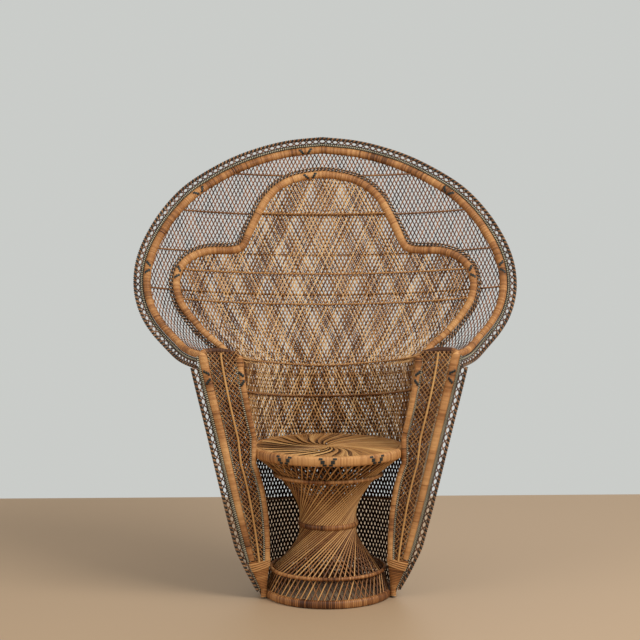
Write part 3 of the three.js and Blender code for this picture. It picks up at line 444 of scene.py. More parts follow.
class NodeMaker:
    """Makes one node material, with short ways to add and link its nodes."""

    def __init__(self, name: str) -> None:
        """Starts the material with its shader.

        Args:
            name: the material's name.
        """
        self.material = bpy.data.materials.new(name)
        self.material.use_nodes = True
        self.tree = self.material.node_tree
        self.shader = self.tree.nodes["Principled BSDF"]

    def add(self, kind: str, **settings: object) -> bpy.types.Node:
        """Adds a node.

        Args:
            kind: the node's type.
            settings: its properties, by name.

        Returns:
            The new node.
        """
        node = self.tree.nodes.new(kind)
        for label, value in settings.items():
            setattr(node, label, value)
        return node

    def link(self, source: bpy.types.NodeSocket, target: bpy.types.NodeSocket) -> None:
        """Links one socket to another."""
        self.tree.links.new(source, target)

    def attribute(self, name: str, output: str) -> bpy.types.NodeSocket:
        """A value that the mesh holds at each point."""
        return self.add("ShaderNodeAttribute", attribute_name=name).outputs[output]

    def noise(self, scale: float, detail: float, rough: float,
              vector: bpy.types.NodeSocket) -> bpy.types.NodeSocket:
        """Adds a noise.

        Args:
            scale: how fine the noise is.
            detail: how many finer layers it has.
            rough: how strong the finer layers are.
            vector: where it is read.

        Returns:
            The socket of its value.
        """
        node = self.add("ShaderNodeTexNoise")
        node.inputs["Scale"].default_value = scale
        node.inputs["Detail"].default_value = detail
        node.inputs["Roughness"].default_value = rough
        self.link(vector, node.inputs["Vector"])
        return node.outputs["Fac"]

    def sum_of(self, terms: list[tuple[bpy.types.NodeSocket, float]],
               start: float) -> bpy.types.NodeSocket:
        """Adds up sockets times factors, from a starting value.

        Args:
            terms: pairs of a socket and its factor.
            start: the value before the first term.

        Returns:
            The socket of the sum.
        """
        total: bpy.types.NodeSocket | None = None
        for socket, factor in terms:
            node = self.add("ShaderNodeMath", operation="MULTIPLY_ADD")
            self.link(socket, node.inputs[0])
            node.inputs[1].default_value = factor
            if total is None:
                node.inputs[2].default_value = start
            else:
                self.link(total, node.inputs[2])
            total = node.outputs[0]
        return total

    def ramp(self, value: bpy.types.NodeSocket, *colours: Colour) -> bpy.types.NodeSocket:
        """Picks a colour by a value.

        Args:
            value: 0 for the first colour and 1 for the last.
            colours: the colours, evenly spaced.

        Returns:
            The socket of the colour.
        """
        node = self.add("ShaderNodeValToRGB")
        stops = node.color_ramp.elements
        stops[0].color, stops[1].color = (*colours[0], 1), (*colours[-1], 1)
        for number, colour in enumerate(colours[1:-1], 1):
            stops.new(number / (len(colours) - 1)).color = (*colour, 1)
        self.link(value, node.inputs[0])
        return node.outputs[0]

    def bump(self, height: bpy.types.NodeSocket, strength: float, distance: float) -> None:
        """Lets the shader's surface follow a height.

        Args:
            height: the height at each place.
            strength: share of the bump that shows.
            distance: how high a height of 1 is.
        """
        node = self.add("ShaderNodeBump")
        node.inputs["Strength"].default_value = strength
        node.inputs["Distance"].default_value = distance
        self.link(height, node.inputs["Height"])
        self.link(node.outputs[0], self.shader.inputs["Normal"])


RING_CANE = CaneFinish("ring cane", (0.055, 0.017, 0.005), (0.30, 0.115, 0.034), (0.6, 0.31, 0.11))
POLE_CANE = CaneFinish("pole cane", (0.07, 0.022, 0.006), (0.42, 0.175, 0.052), (0.68, 0.38, 0.145))
NET_CANE = CaneFinish("net cane", (0.02, 0.006, 0.0015), (0.21, 0.066, 0.013), (0.5, 0.21, 0.06),
                      specular=0.15)
WALL_CANE = CaneFinish("wall cane", (0.07, 0.022, 0.005), (0.37, 0.17, 0.052), (0.72, 0.46, 0.21),
                       specular=0.2)
STRAND_CANE = CaneFinish("strand cane", (0.04, 0.013, 0.004), (0.27, 0.11, 0.034),
                         (0.6, 0.33, 0.12))
SEAT_CANE = CaneFinish("seat cane", (0.08, 0.03, 0.009), (0.4, 0.185, 0.055), (0.68, 0.4, 0.15))
EDGE_CANE = CaneFinish("edge cane", (0.08, 0.05, 0.026), (0.27, 0.21, 0.125), (0.6, 0.53, 0.37))
LACE_CANE = CaneFinish("lace cane", (0.02, 0.008, 0.004), (0.16, 0.065, 0.025), (0.45, 0.25, 0.12))


# Shells

@dataclass
class Shell:
    """A stack of leaning half-ellipses: level is the height at the middle of the back, arc is
    measured round the flat pattern."""

    foot_radius: float
    arm_half_width: float
    arm_depth: float
    fan_radius: float
    flare_levels: float
    foot_level: float = 0.0
    flank_share: float = 0.0
    arm_top: float = 0.662
    front_rise_share: float = 0.19
    front_rise_level: float = 0.517

    def back(self, level: Array) -> Array:
        """How far behind the pedestal's axis the ellipse starts."""
        raise NotImplementedError

    def share(self, level: Array) -> Array:
        """Share of the way from the shell's foot to the arm's top."""
        return np.clip((level - self.foot_level) / (self.arm_top - self.foot_level), 0, 1)

    def flare(self, level: Array) -> Array:
        """Share of the way to the fan's full radius."""
        return ease_out((level - self.arm_top) / self.flare_levels)

    def width(self, level: Array) -> Array:
        """Half width of the ellipse, with flanks that swell below the arm's top.

        Args:
            level: levels of the flat pattern.

        Returns:
            The half width at each level.
        """
        share = self.share(level)
        full = share * (1 + self.flank_share * (1 - share))
        below = mix(self.foot_radius, self.arm_half_width, full)
        return below + (self.fan_radius - self.arm_half_width) * self.flare(level)

    def depth(self, level: Array) -> Array:
        """Half depth of the ellipse."""
        below = mix(self.foot_radius, self.arm_depth, self.share(level))
        return below + (self.fan_radius - self.arm_depth) * self.flare(level)

    def radius(self, level: Array) -> Array:
        """Mean radius, which turns an arc into an angle."""
        return (self.width(level) + self.depth(level)) / 2

    def point(self, arc: Array, level: Array) -> Array:
        """Places of the flat pattern in space.

        Args:
            arc: distances round the flat pattern from the middle of the back.
            level: levels of the flat pattern.

        Returns:
            The place of each arc and level.
        """
        angle = arc / self.radius(level)
        forward = self.depth(level) * (1 - np.cos(angle))
        rise = self.front_rise_share * ease_both(level / self.front_rise_level) * forward
        aside = self.width(level) * np.sin(angle)
        return np.stack([aside, self.back(level) - forward, level + rise], -1)

    def normal(self, arc: Array, level: Array) -> Array:
        """Directions out of the shell, away from the sitter."""
        across, up = small_steps(self.point, arc, level)
        return unit(np.cross(up, across))

    def route(self, places: Array) -> Route:
        """A route through places on the flat pattern."""
        arc, level = places[:, 0], places[:, 1]
        return Route(self.point(arc, level), self.normal(arc, level))


@dataclass
class OuterShell(Shell):
    """The wall that stands on the floor and flares into the fan."""

    foot_radius: float = 0.2043
    arm_half_width: float = 0.373
    arm_depth: float = 0.431
    fan_radius: float = 1.0
    flare_levels: float = 0.4
    flank_share: float = 0.12
    fan_top: float = 1.36
    lean_reach: float = 0.175
    bow_reach: float = 0.088

    def back(self, level: Array) -> Array:
        """How far behind the pedestal's axis the ellipse starts."""
        share = level / self.fan_top
        return self.foot_radius + self.lean_reach * share + self.bow_reach * share ** 2


@dataclass
class InnerShell(Shell):
    """The wall round the sitter, from the seat up to the clover frame."""

    foot_radius: float = 0.2423
    foot_level: float = 0.437
    arm_half_width: float = 0.266
    arm_depth: float = 0.39
    fan_radius: float = 0.95
    flare_levels: float = 0.38
    clover_top: float = 1.28
    lean_share: float = 0.166
    bow_reach: float = 0.032

    def back(self, level: Array) -> Array:
        """How far behind the pedestal's axis the ellipse starts.

        Args:
            level: levels of the flat pattern.

        Returns:
            The distance at each level.
        """
        rise = np.maximum(level - self.foot_level, 0)
        share = rise / (self.clover_top - self.foot_level)
        return self.foot_radius + self.lean_share * rise + self.bow_reach * share ** 2


def spline(points: Array, steps: int) -> Array:
    """Smooth curve through points on the flat pattern.

    Args:
        points: arc and level of each point that the curve passes.
        steps: how many even steps the curve gets.

    Returns:
        Arc and level at the ends of the steps.
    """
    fine = 24
    rows = []
    for i in range(len(points) - 1):
        before, here = points[max(i - 1, 0)], points[i]
        after, beyond = points[i + 1], points[min(i + 2, len(points) - 1)]
        start, end = (after - before) / 2, (beyond - here) / 2
        t = np.linspace(0, 1, fine, endpoint=False)[:, None]
        rows.append((2 * here - 2 * after + start + end) * t ** 3
                    + (-3 * here + 3 * after - 2 * start - end) * t ** 2 + start * t + here)
    curve = np.vstack([*rows, points[-1:]])
    known = np.concatenate([[0], np.cumsum(np.linalg.norm(np.diff(curve, axis=0), axis=1))])
    return read_off(np.linspace(0, known[-1], steps + 1), known, curve)


def inside(places: Array, outline: Array) -> Array:
    """Which places of the flat pattern lie inside an outline.

    Args:
        places: arc and level of each place.
        outline: corners of the closed outline.

    Returns:
        Whether each place lies inside.
    """
    found = np.zeros(len(places), bool)
    for here, before in zip(outline, np.roll(outline, 1, axis=0)):
        if here[1] == before[1]:
            continue
        crosses = (here[1] > places[:, 1]) != (before[1] > places[:, 1])
        rise = before[1] - here[1]
        edge = here[0] + (before[0] - here[0]) * (places[:, 1] - here[1]) / rise
        found ^= crosses & (places[:, 0] < edge)
    return found


# Half outlines from the top of the fan down: share of the half arc, and share of the way up
# from the arm's top to the fan's or the clover's top.
RIM_SHARES = np.array([
    (0, 1), (0.166, 0.984), (0.315, 0.95), (0.464, 0.898), (0.619, 0.821), (0.738, 0.744),
    (0.846, 0.64), (0.924, 0.534), (0.972, 0.441), (0.995, 0.358), (1, 0.287), (0.99, 0.215),
    (0.967, 0.153), (0.942, 0.1), (0.945, 0.064), (0.982, 0.032),
])
CLOVER_SHARES = np.array([
    (0, 1), (0.12, 0.987), (0.219, 0.964), (0.309, 0.919), (0.382, 0.853), (0.44, 0.77),
    (0.484, 0.696), (0.53, 0.618), (0.598, 0.594), (0.757, 0.583), (0.861, 0.555),
    (0.934, 0.513), (0.98, 0.461), (1, 0.395), (0.992, 0.319), (0.956, 0.256), (0.902, 0.181),
    (0.853, 0.125), (0.813, 0.084), (0.847, 0.044), (0.94, 0.018),
])


@dataclass
class Pattern:
    """The flat pattern of both shells: outlines of the fan and the clover, and the rails."""

    outer: OuterShell = field(default_factory=OuterShell)
    inner: InnerShell = field(default_factory=InnerShell)
    fan_half_arc: float = 0.603
    clover_half_arc: float = 0.496
    elbow_reach: float = 0.026
    outer_foot_turn_share: float = 0.5806
    inner_seat_turn_share: float = 0.62
    foot_level: float = 0.115
    inner_foot_half_width: float = 0.186
    inner_foot_reach: float = 0.076
    inner_bow_half_width: float = 0.184
    inner_bow_reach: float = 0.088
    inner_bow_level: float = 0.317
    inner_hang_level: float = 0.367

    def outline(self, shares: Array, half_arc: float, top: float) -> Array:
        """One half of an outline, from the top of the fan down."""
        arm_top = self.outer.arm_top
        return np.stack([shares[:, 0] * half_arc, mix(arm_top, top, shares[:, 1])], 1)

    def outer_rail_places(self, levels: Array) -> Array:
        """Front edge of the outer shell below the arm's top."""
        turn = mix(self.outer_foot_turn_share * math.pi, QUARTER, levels / self.outer.arm_top)
        return np.stack([turn * self.outer.radius(levels), levels], 1)

    def inner_rail_places(self, levels: Array) -> Array:
        """Front edge of the inner shell below the arm's top."""
        turn = mix(self.inner_seat_turn_share * math.pi, QUARTER, self.inner.share(levels))
        return np.stack([turn * self.inner.radius(levels), levels], 1)

    def rim_places(self, steps: int) -> Array:
        """The fan's rim on the flat pattern, from the top of the fan down to the arm.

        Args:
            steps: how many even steps it gets.

        Returns:
            Arc and level of each step's ends.
        """
        outline = self.outline(RIM_SHARES, self.fan_half_arc, self.outer.fan_top)
        corner = self.outer_rail_places(np.array([self.outer.arm_top]))
        return spline(np.vstack([outline, corner]), steps)

    def clover_places(self, steps: int) -> Array:
        """The clover frame on the flat pattern, from the top of the fan down through the elbow
        at the arm.

        Args:
            steps: how many even steps the part above the elbow gets.

        Returns:
            Arc and level of each step's ends.
        """
        arm_top = self.inner.arm_top
        corner = self.inner_rail_places(np.array([arm_top]))[0]
        start = corner - np.array([self.elbow_reach, -self.elbow_reach / 4])
        end = self.inner_rail_places(np.array([arm_top - self.elbow_reach]))[0]
        outline = self.outline(CLOVER_SHARES, self.clover_half_arc, self.inner.clover_top)
        main = spline(np.vstack([outline, start]), steps)
        elbow = bend(start, corner, end, np.linspace(0, 1, 7)[1:, None])
        last = self.inner_rail_places(np.array([arm_top - self.elbow_reach * 2]))
        return np.vstack([main, elbow, last])

    def outer_rail(self) -> Route:
        """Right-hand outer rail from the foot up."""
        levels = np.linspace(self.foot_level, self.outer.arm_top, 40)
        return self.outer.route(self.outer_rail_places(levels))

    def inner_rail(self) -> Route:
        """Right-hand inner rail: a free bow from the foot up, then the edge of the shell.

        Returns:
            The rail's route.
        """
        levels = np.linspace(self.inner_hang_level, self.inner.arm_top, 30)
        upper = self.inner.route(self.inner_rail_places(levels))
        foot_height = self.outer_rail().at[0, 2]
        start = np.array([self.inner_foot_half_width, -self.inner_foot_reach, foot_height])
        middle = np.array([self.inner_bow_half_width, -self.inner_bow_reach, self.inner_bow_level])
        lower = bend(start, middle, upper.at[0], np.linspace(0, 1, 20)[:-1, None])
        return Route(lower, np.repeat(upper.out[:1], len(lower), 0)).joined(upper)

    def rim(self) -> Route:
        """The fan's rim from the left arm over the top to the right arm."""
        return self.outer.route(self.rim_places(160)).both_halves()

    def clover(self) -> Route:
        """The clover frame from the left arm over the top to the right arm."""
        return self.inner.route(self.clover_places(160)).both_halves()

    @staticmethod
    def closed(half: Array) -> Array:
        """A half outline joined to its mirror image."""
        return np.vstack([half, (half * [-1, 1])[::-1]])

    def outer_outline(self) -> Array:
        """Closed outline of the outer net on the flat pattern."""
        below = self.outer_rail_places(np.linspace(self.outer.arm_top, 0, 24))
        return self.closed(np.vstack([self.rim_places(90), below]))

    def inner_outline(self) -> Array:
        """Closed outline of the inner net on the flat pattern."""
        levels = np.linspace(self.inner.arm_top - self.elbow_reach * 2, self.inner_hang_level, 16)
        return self.closed(np.vstack([self.clover_places(90), self.inner_rail_places(levels)]))


PATTERN = Pattern()


# Wound poles

@dataclass
class WoundPole:
    """A pole wound closely with flat cane: every turn is a shallow crown between two grooves."""

    route: Route
    half_wide: Array | float
    half_deep: Array | float
    turn_pitch: float = 0.0036
    groove: float = 0.0006
    # Painted shade in the groove between turns.
    groove_painted_shade: float = -0.55
    lean: float = 0.0009
    sides: int = 14
    seed: int = 1
    dark_turn_share: float = 0.03
    dark_turn_drop: float = 0.35
    tone: Array | float = 0.5
    swell: float = 0.26
    swell_turns: float = 14
    scatter: float = 0.2
    square: float = 2.0

    def section(self, angles: Array) -> tuple[Array, Array]:
        """Form of the pole's section, from round to nearly square.

        Args:
            angles: angles round the pole.

        Returns:
            Shares of the half width and of the half thickness at each angle.
        """
        power = 2 / self.square
        wide, deep = np.cos(angles), np.sin(angles)
        return np.sign(wide) * np.abs(wide) ** power, np.sign(deep) * np.abs(deep) ** power

    def halves_at(self, share: Array) -> tuple[Array, Array]:
        """Sizes of the pole along its way.

        Args:
            share: shares of the way along.

        Returns:
            Half width and half thickness at each share.
        """
        grid = np.linspace(0, 1, max(np.size(self.half_wide), np.size(self.half_deep), 2))
        wide = np.interp(share, grid, np.broadcast_to(self.half_wide, grid.shape))
        deep = np.interp(share, grid, np.broadcast_to(self.half_deep, grid.shape))
        return wide, deep

    def surface(self, distance: Array, angle: Array, lift: Array | float = 0.0) -> Array:
        """Places on the pole.

        Args:
            distance: distances along the pole.
            angle: angles round it, as many as there are distances.
            lift: how far the places stand off the pole.

        Returns:
            A place for each distance.
        """
        here = self.route.at_distances(np.ravel(distance))
        _, across, up = self.route_frames(np.ravel(distance))
        wide, deep = self.halves_at(np.ravel(distance) / self.route.length())
        wide_share, deep_share = self.section(np.ravel(angle))
        raise_by = np.broadcast_to(lift, np.shape(distance)).ravel()
        flat = (here.at + across * ((wide + raise_by) * wide_share)[:, None]
                + up * ((deep + raise_by) * deep_share)[:, None])
        return flat.reshape(*np.shape(distance), 3)

    def route_frames(self, distance: Array) -> tuple[Array, Array, Array]:
        """Frame directions of the route at distances along it."""
        known = self.route.distances()
        return tuple(unit(read_off(distance, known, axis)) for axis in self.route.frames())

    def facing(self, distance: float, direction: Array) -> float:
        """Angle round the pole that looks in a direction."""
        _, across, up = self.route_frames(np.array([distance]))
        return math.atan2(float(up[0] @ direction), float(across[0] @ direction))

    def turn_tones(self, turns: int) -> Array:
        """Lightness of the cane, which changes slowly, with single dark turns.

        Args:
            turns: how many turns the winding has.

        Returns:
            The tone of each turn.
        """
        rng = np.random.default_rng(self.seed)
        base = np.interp(np.linspace(0, 1, turns), np.linspace(0, 1, np.size(self.tone)),
                         np.ravel(self.tone))
        swell = self.swell * smooth_noise(turns, self.swell_turns, rng)
        tone = base + swell + rng.uniform(-self.scatter, self.scatter, turns)
        tone[rng.random(turns) < self.dark_turn_share] -= self.dark_turn_drop
        return tone

    def wind(self, draft: MeshDraft, closed: bool = False) -> None:
        """Adds the wound surface to a mesh.

        Args:
            draft: the mesh that takes it.
            closed: whether the route is a ring.
        """
        length = self.route.length()
        turns = max(int(round(length / self.turn_pitch)), 2)
        pitch = length / turns
        tone = self.turn_tones(turns)
        steps = np.array([0.0, 0.25, 0.75])
        crowns = np.array([-self.groove, 0.0, 0.0])
        distance = ((np.arange(turns)[:, None] + steps) * pitch).ravel()
        lift = np.tile(crowns, turns)
        # Painted shade: the groove ring of each turn is darkened for the shadow in the crease.
        shade = (tone[:, None] + np.array([self.groove_painted_shade, 0.0, 0.0])).ravel()
        angles = TURN * (np.arange(self.sides) + 0.5) / self.sides
        if closed:
            leaned = np.broadcast_to(distance[:, None], (len(distance), self.sides))
        else:
            distance, lift, shade = (np.append(distance, length), np.append(lift, -self.groove),
                                     np.append(shade, tone[-1]))
            leaned = np.clip(distance[:, None] + self.lean * np.sin(angles)[None, :], 0, length)
        grid = self.surface(leaned, np.broadcast_to(angles, leaned.shape), lift[:, None])
        wide, _ = self.halves_at(np.array([0.5]))
        draft.add_grid(grid, shade, 0.0, (distance, angles * float(wide[0])), closed)

    def build(self, node: str, finish: CaneFinish = POLE_CANE, slot: str = "wrapped_pole",
              closed: bool = False) -> None:
        """Makes the winding as the piece that stands for a node.

        Args:
            node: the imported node.
            finish: the cane finish that it wears.
            slot: the record's material slot.
            closed: whether the route is a ring.
        """
        draft = MeshDraft()
        self.wind(draft, closed)
        draft.build(f"{node}_winding", finish, slot, [node])

    def cross_strand(self, draft: MeshDraft, distance: float, slope: float, radius: float) -> None:
        """Adds one round strand tied round the pole.

        Args:
            draft: the mesh that takes it.
            distance: the strand's place along the pole.
            slope: how far it climbs from the pole's one side to the other.
            radius: the strand's radius.
        """
        angles = np.linspace(0, TURN, 37)[:-1]
        along = np.clip(distance + slope * np.cos(angles), 0, self.route.length())
        middle = self.surface(along, angles, radius * 0.3)
        out = unit(middle - self.surface(along, angles, -radius))
        closed = Route(np.vstack([middle, middle[:1]]), np.vstack([out, out[:1]]))
        draft.add_sweep(closed, oval(radius, radius, 6), 0.72)

    def patch(self, draft: MeshDraft, distance: float, angle: float, length: float,
              spread: float, thickness: float, shade: float, dye: float) -> None:
        """Adds one short flat strand laid on the pole.

        Args:
            draft: the mesh that takes it.
            distance: middle of the patch along the pole.
            angle: middle of the patch round the pole.
            length: size along the pole.
            spread: size round the pole, as an angle.
            thickness: how far it stands out.
            shade: lightness of its cane.
            dye: share of black dye.
        """
        turn = angle + np.linspace(-0.5, 0.5, 4) * spread
        along = distance + np.array([-0.5, -0.4, 0.4, 0.5, 0.5, -0.5]) * length
        lift = np.array([0.6, 1, 1, 0.6, -1, -1]) * thickness
        shape = (len(turn), len(along))
        grid = self.surface(np.broadcast_to(along[None, :], shape),
                            np.broadcast_to(turn[:, None], shape), np.broadcast_to(lift, shape))
        draft.add_grid(grid, shade, dye)


FRONT = np.array([0.0, -1.0, 0.0])


@dataclass
class Chevrons:
    """V marks of black strands on a wound pole, each arm a stair of short patches."""

    pole: WoundPole
    steps: int = 3
    patch_shade: float = 0.4
    patch_length: float = 0.0088
    patch_size: float = 0.0056
    step_along: float = 0.0046
    step_across: float = 0.0056
    half_gap: float = 0.0084
    stand_out: float = 0.0014

    def add(self, draft: MeshDraft, distance: float, direction: Array = FRONT,
            point_side: float = -1.0) -> None:
        """Adds one mark.

        Args:
            draft: the mesh that takes it.
            distance: the mark's place along the pole.
            direction: where the marked face looks.
            point_side: sign of the angle towards the V's point.
        """
        middle = self.pole.facing(distance, direction)
        wide, deep = self.pole.halves_at(np.array([distance / self.pole.route.length()]))
        radius = float(max(wide[0], deep[0]))
        for arm in (-1, 1):
            for step in range(self.steps):
                away = self.half_gap + step * self.step_along
                climb = (self.steps / 2 - 0.5 - step) * self.step_across / radius
                self.pole.patch(draft, distance + arm * away, middle + point_side * climb,
                                self.patch_length, self.patch_size / radius, self.stand_out,
                                self.patch_shade, 1.0)

    def build(self, node: str, places: Iterable[float], point_side: float = -1.0) -> None:
        """Makes the marks on a node's pole as one piece.

        Args:
            node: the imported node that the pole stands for.
            places: distances of the marks along the pole.
            point_side: as in add.
        """
        marks = MeshDraft()
        for distance in places:
            self.add(marks, distance, point_side=point_side)
        marks.build(f"{node}_marks", POLE_CANE, "wrapped_pole")


# Cords and borders

@dataclass
class TwistedCord:
    """Strands twisted round each other, some of them dyed."""

    strand_radius: float
    pitch: float
    steps_per_turn: int = 8
    sides: int = 5
    dyes: tuple[float, ...] = (0.0, 1.0)
    shades: tuple[float, ...] = (0.7, 0.4)
    flatten: float = 1.0
    swell: float = 0.15
    swell_steps: float = 24
    fullness: float = 1.05

    def lay(self, draft: MeshDraft, route: Route, seed: int = 1) -> None:
        """Adds the cord to a mesh.

        Args:
            draft: the mesh that takes it.
            route: the cord's middle line.
            seed: seeds the shades.
        """
        length = route.length()
        turns = max(length / self.pitch, 1)
        fine = route.at_distances(np.linspace(0, length, int(turns * self.steps_per_turn) + 1))
        phase = TURN * fine.distances() / self.pitch
        rng = np.random.default_rng(seed)
        section = oval(self.strand_radius * self.fullness, self.strand_radius * self.fullness,
                       self.sides)
        for strand, (dye, shade) in enumerate(zip(self.dyes, self.shades)):
            turn = phase + TURN * strand / len(self.dyes)
            own = fine.moved(self.strand_radius * np.cos(turn),
                             self.strand_radius * np.sin(turn) * self.flatten)
            own.out = unit(own.at - fine.at)
            tone = shade + self.swell * smooth_noise(len(fine.at), self.swell_steps, rng)
            draft.add_sweep(own, section, tone, dye)


STITCH_CORD = TwistedCord(0.0017, 0.0064, shades=(0.95, 0.3))
LINE_CORD = TwistedCord(0.0010, 0.006, dyes=(1.0, 0.8), shades=(0.2, 0.2))
ROPE_CORD = TwistedCord(0.0032, 0.0142, dyes=(1.0, 0.0), shades=(0.2, 0.7), flatten=0.7)
RAIL_CORD = TwistedCord(0.0015, 0.0064, shades=(0.9, 0.3))
CLOVER_CORD = TwistedCord(0.0016, 0.0125, shades=(0.95, 0.3))


@dataclass
class ChainBorder:
    """Openwork of two waving strands that cross and leave an eye between every two crossings."""

    eye_length: float
    amplitude: float
    strand_width: float
    strand_thickness: float
    weave: float = 0.0012
    steps_per_eye: int = 8
    strands: int = 2
    swell_steps: float = 20

    def lay(self, draft: MeshDraft, route: Route, middle: Array | float, seed: int = 1,
            tones: tuple[float, float] = (0.15, 0.6), scale: Array | float = 1.0) -> None:
        """Adds the border beside an edge.

        Args:
            draft: the mesh that takes it.
            route: the edge, with its out directions pointing away from the edge.
            middle: distance of the border's middle line from the edge, for all or each station.
            seed: seeds the shades.
            tones: range of the strands' lightness.
            scale: share of the full waving, for all or for each station.
        """
        length = route.length()
        eyes = max(int(round(length / self.eye_length)), 1)
        fine = route.at_distances(np.linspace(0, length, eyes * self.steps_per_eye + 1))
        phase = math.pi * np.arange(len(fine.at)) / self.steps_per_eye
        share = np.linspace(0, 1, len(fine.at))
        given = np.linspace(0, 1, len(route.at))
        middle = np.interp(share, given, np.broadcast_to(middle, given.shape))
        swing = self.amplitude * np.interp(share, given, np.broadcast_to(scale, given.shape))
        rng = np.random.default_rng(seed)
        section = flat_strand(self.strand_width, self.strand_thickness)
        for strand in range(self.strands):
            sign = 1 - 2 * (strand % 2)
            across = middle + sign * swing * np.sin(phase)
            wave = fine.moved(sign * self.weave * np.cos(phase), across)
            _, wave.out, _ = fine.frames()
            swell = smooth_noise(len(fine.at), self.swell_steps, rng)
            tone = mix(tones[0], tones[1], 0.5 + 0.5 * swell)
            draft.add_sweep(wave, section, tone)


def front_edge(route: Route, half: Array | float, hand: float) -> Route:
    """The edge of a pole that a viewer in front sees outermost.

    Args:
        route: the pole's centre line.
        half: the pole's half width, for all or for each station.
        hand: 1 or -1, for the side of the route that the edge is on.

    Returns:
        The edge, with out directions pointing away from the pole in the plane of the border.
    """
    along, _, _ = route.frames()
    away = unit(np.cross(along, np.array([0.0, hand, 0.0])))
    half_column = np.broadcast_to(half, (len(route.at),))[:, None]
    return Route(route.at + away * half_column, away)


# Nets

# Painted shading across a net strand: darker at its two edges, lighter on its crowns front and back.
STRAND_PAINTED_SHADING = np.array([-0.26, 0.12, -0.26, 0.12])


@dataclass
class WovenNet:
    """A diamond net of strands that pass over and under each other on a shell's flat pattern."""

    shell: Shell
    outline: Array
    pitch: float
    slope_share: float = 0.51
    strand_width: float = 0.0034
    low_strand_width: float = 0.0065
    thick_level: float = 0.54
    thin_level: float = 0.76
    # Painted shade on the strands low in the net, where the back lies in shade under the seat and arms.
    low_painted_shade: float = -0.5
    # Painted shade on the strands towards the net's sides, beside the arms.
    side_painted_shade: float = 0.0
    side_start: float = 0.5
    side_reach: float = 0.5
    stray: float = 0.0009
    strand_thickness: float = 0.0022
    weave: float = 0.0012
    floor_height: float = 0.006
    dark_tones: tuple[float, float] = (0.1, 0.35)
    light_tones: tuple[float, float] = (0.35, 0.75)
    dark_share: float = 0.5
    stray_rows: float = 7
    tone_swell: float = 0.08
    swell_rows: float = 8
    seed: int = 3
    split_rows: int = 2

    def strands(self, lean: Lean) -> Iterable[tuple[Array, Array]]:
        """Runs of places along the strands of one direction.

        Args:
            lean: the direction in which the strands slant.

        Yields:
            The places on the flat pattern and the height of the weave at each.
        """
        row_height = self.pitch / 2 / self.slope_share
        low, high = self.outline.min(0), self.outline.max(0)
        rows = np.arange(math.floor(low[1] / row_height), math.ceil(high[1] / row_height),
                         1 / self.split_rows)
        reach = int(math.ceil((high[0] - low[0]) / self.pitch)) + len(rows)
        for start in range(-2 * reach, 2 * reach, 2):
            arc = (start + lean.value * rows) * self.pitch / 2
            if arc.max() < low[0] or arc.min() > high[0]:
                continue
            places = np.stack([arc, rows * row_height], 1)
            kept = inside(places, self.outline)
            kept &= self.shell.point(arc, places[:, 1])[:, 2] > self.floor_height
            over = np.cos(math.pi * rows) * lean.value
            for run in runs(kept):
                yield places[run], over[run]

    def weave_into(self, draft: MeshDraft, lean: Lean) -> None:
        """Adds the strands of one direction to a mesh.

        Args:
            draft: the mesh that takes them.
            lean: the direction in which the strands slant.
        """
        rng = np.random.default_rng(self.seed + lean.value)
        for places, over in self.strands(lean):
            stray = self.stray * smooth_noise(len(places), self.stray_rows, rng)
            route = self.shell.route(places + stray[:, None] * np.array([1.0, 0.0]))
            route = route.moved(0.0, over * self.weave)
            low = ease_both((self.thin_level - places[:, 1]) / (self.thin_level - self.thick_level))
            width = mix(self.strand_width, self.low_strand_width, low)
            sizes = np.stack([width, np.full_like(width, self.strand_thickness)], 1)
            tones = self.dark_tones if rng.random() < self.dark_share else self.light_tones
            tone = rng.uniform(*tones)
            tone = tone + self.tone_swell * smooth_noise(len(places), self.swell_rows, rng)
            # Painted shade: strands darker low in the net and towards its sides, where the net lies in
            # shade.
            limit = np.minimum(self.shell.radius(places[:, 1]) * QUARTER, self.side_reach)
            edge = np.abs(places[:, 0]) / limit
            shaded_side_share = ease_both((edge - self.side_start) / (1 - self.side_start))
            tone = tone + self.low_painted_shade * low + self.side_painted_shade * shaded_side_share
            draft.add_sweep(route, diamond_strand(1, 1) * sizes[:, None],
                            tone[:, None] + STRAND_PAINTED_SHADING)


# Sub-assemblies

RING_DEPTH = 0.022
TIE_DEPTH = 0.011
WAIST_DEPTH = 0.015


def ring_sizes(node: str) -> tuple[float, float, float]:
    """Outer radius, bottom and top of a packed ring."""
    low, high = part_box(node)
    return (high.x - low.x) / 2, low.z, high.z


@dataclass
class WoundRing:
    """A ring wound with flat cane."""

    node: str
    depth: float
    turn_pitch: float
    seed: int
    sides: int = 14
    tone: float = 0.5
    square: float = 2.8
    dark_turn_share: float = 0.05
    stations: int = 241

    def build(self) -> WoundPole:
        """Makes the ring as a piece that stands for its node.

        Returns:
            The pole that was wound, for marks laid on it.
        """
        outer, low, high = ring_sizes(self.node)
        radius = outer - self.depth / 2
        angles = np.linspace(0, TURN, self.stations) + QUARTER
        out = np.stack([np.cos(angles), np.sin(angles), np.zeros_like(angles)], 1)
        route = Route(out * radius + np.array([0, 0, (low + high) / 2]), out)
        pole = WoundPole(route, (high - low) / 2, self.depth / 2, self.turn_pitch,
                         sides=self.sides, seed=self.seed, tone=self.tone, square=self.square,
                         dark_turn_share=self.dark_turn_share)
        pole.build(self.node, RING_CANE, "wrapped_ring", closed=True)
        return pole


# Painted shading round a round strand: darker at its two edges, a painted highlight on its crowns.
ROUND_PAINTED_SHADING = np.array([-0.55, 0.0, 0.14, 0.0, -0.55, 0.0, 0.14, 0.0])


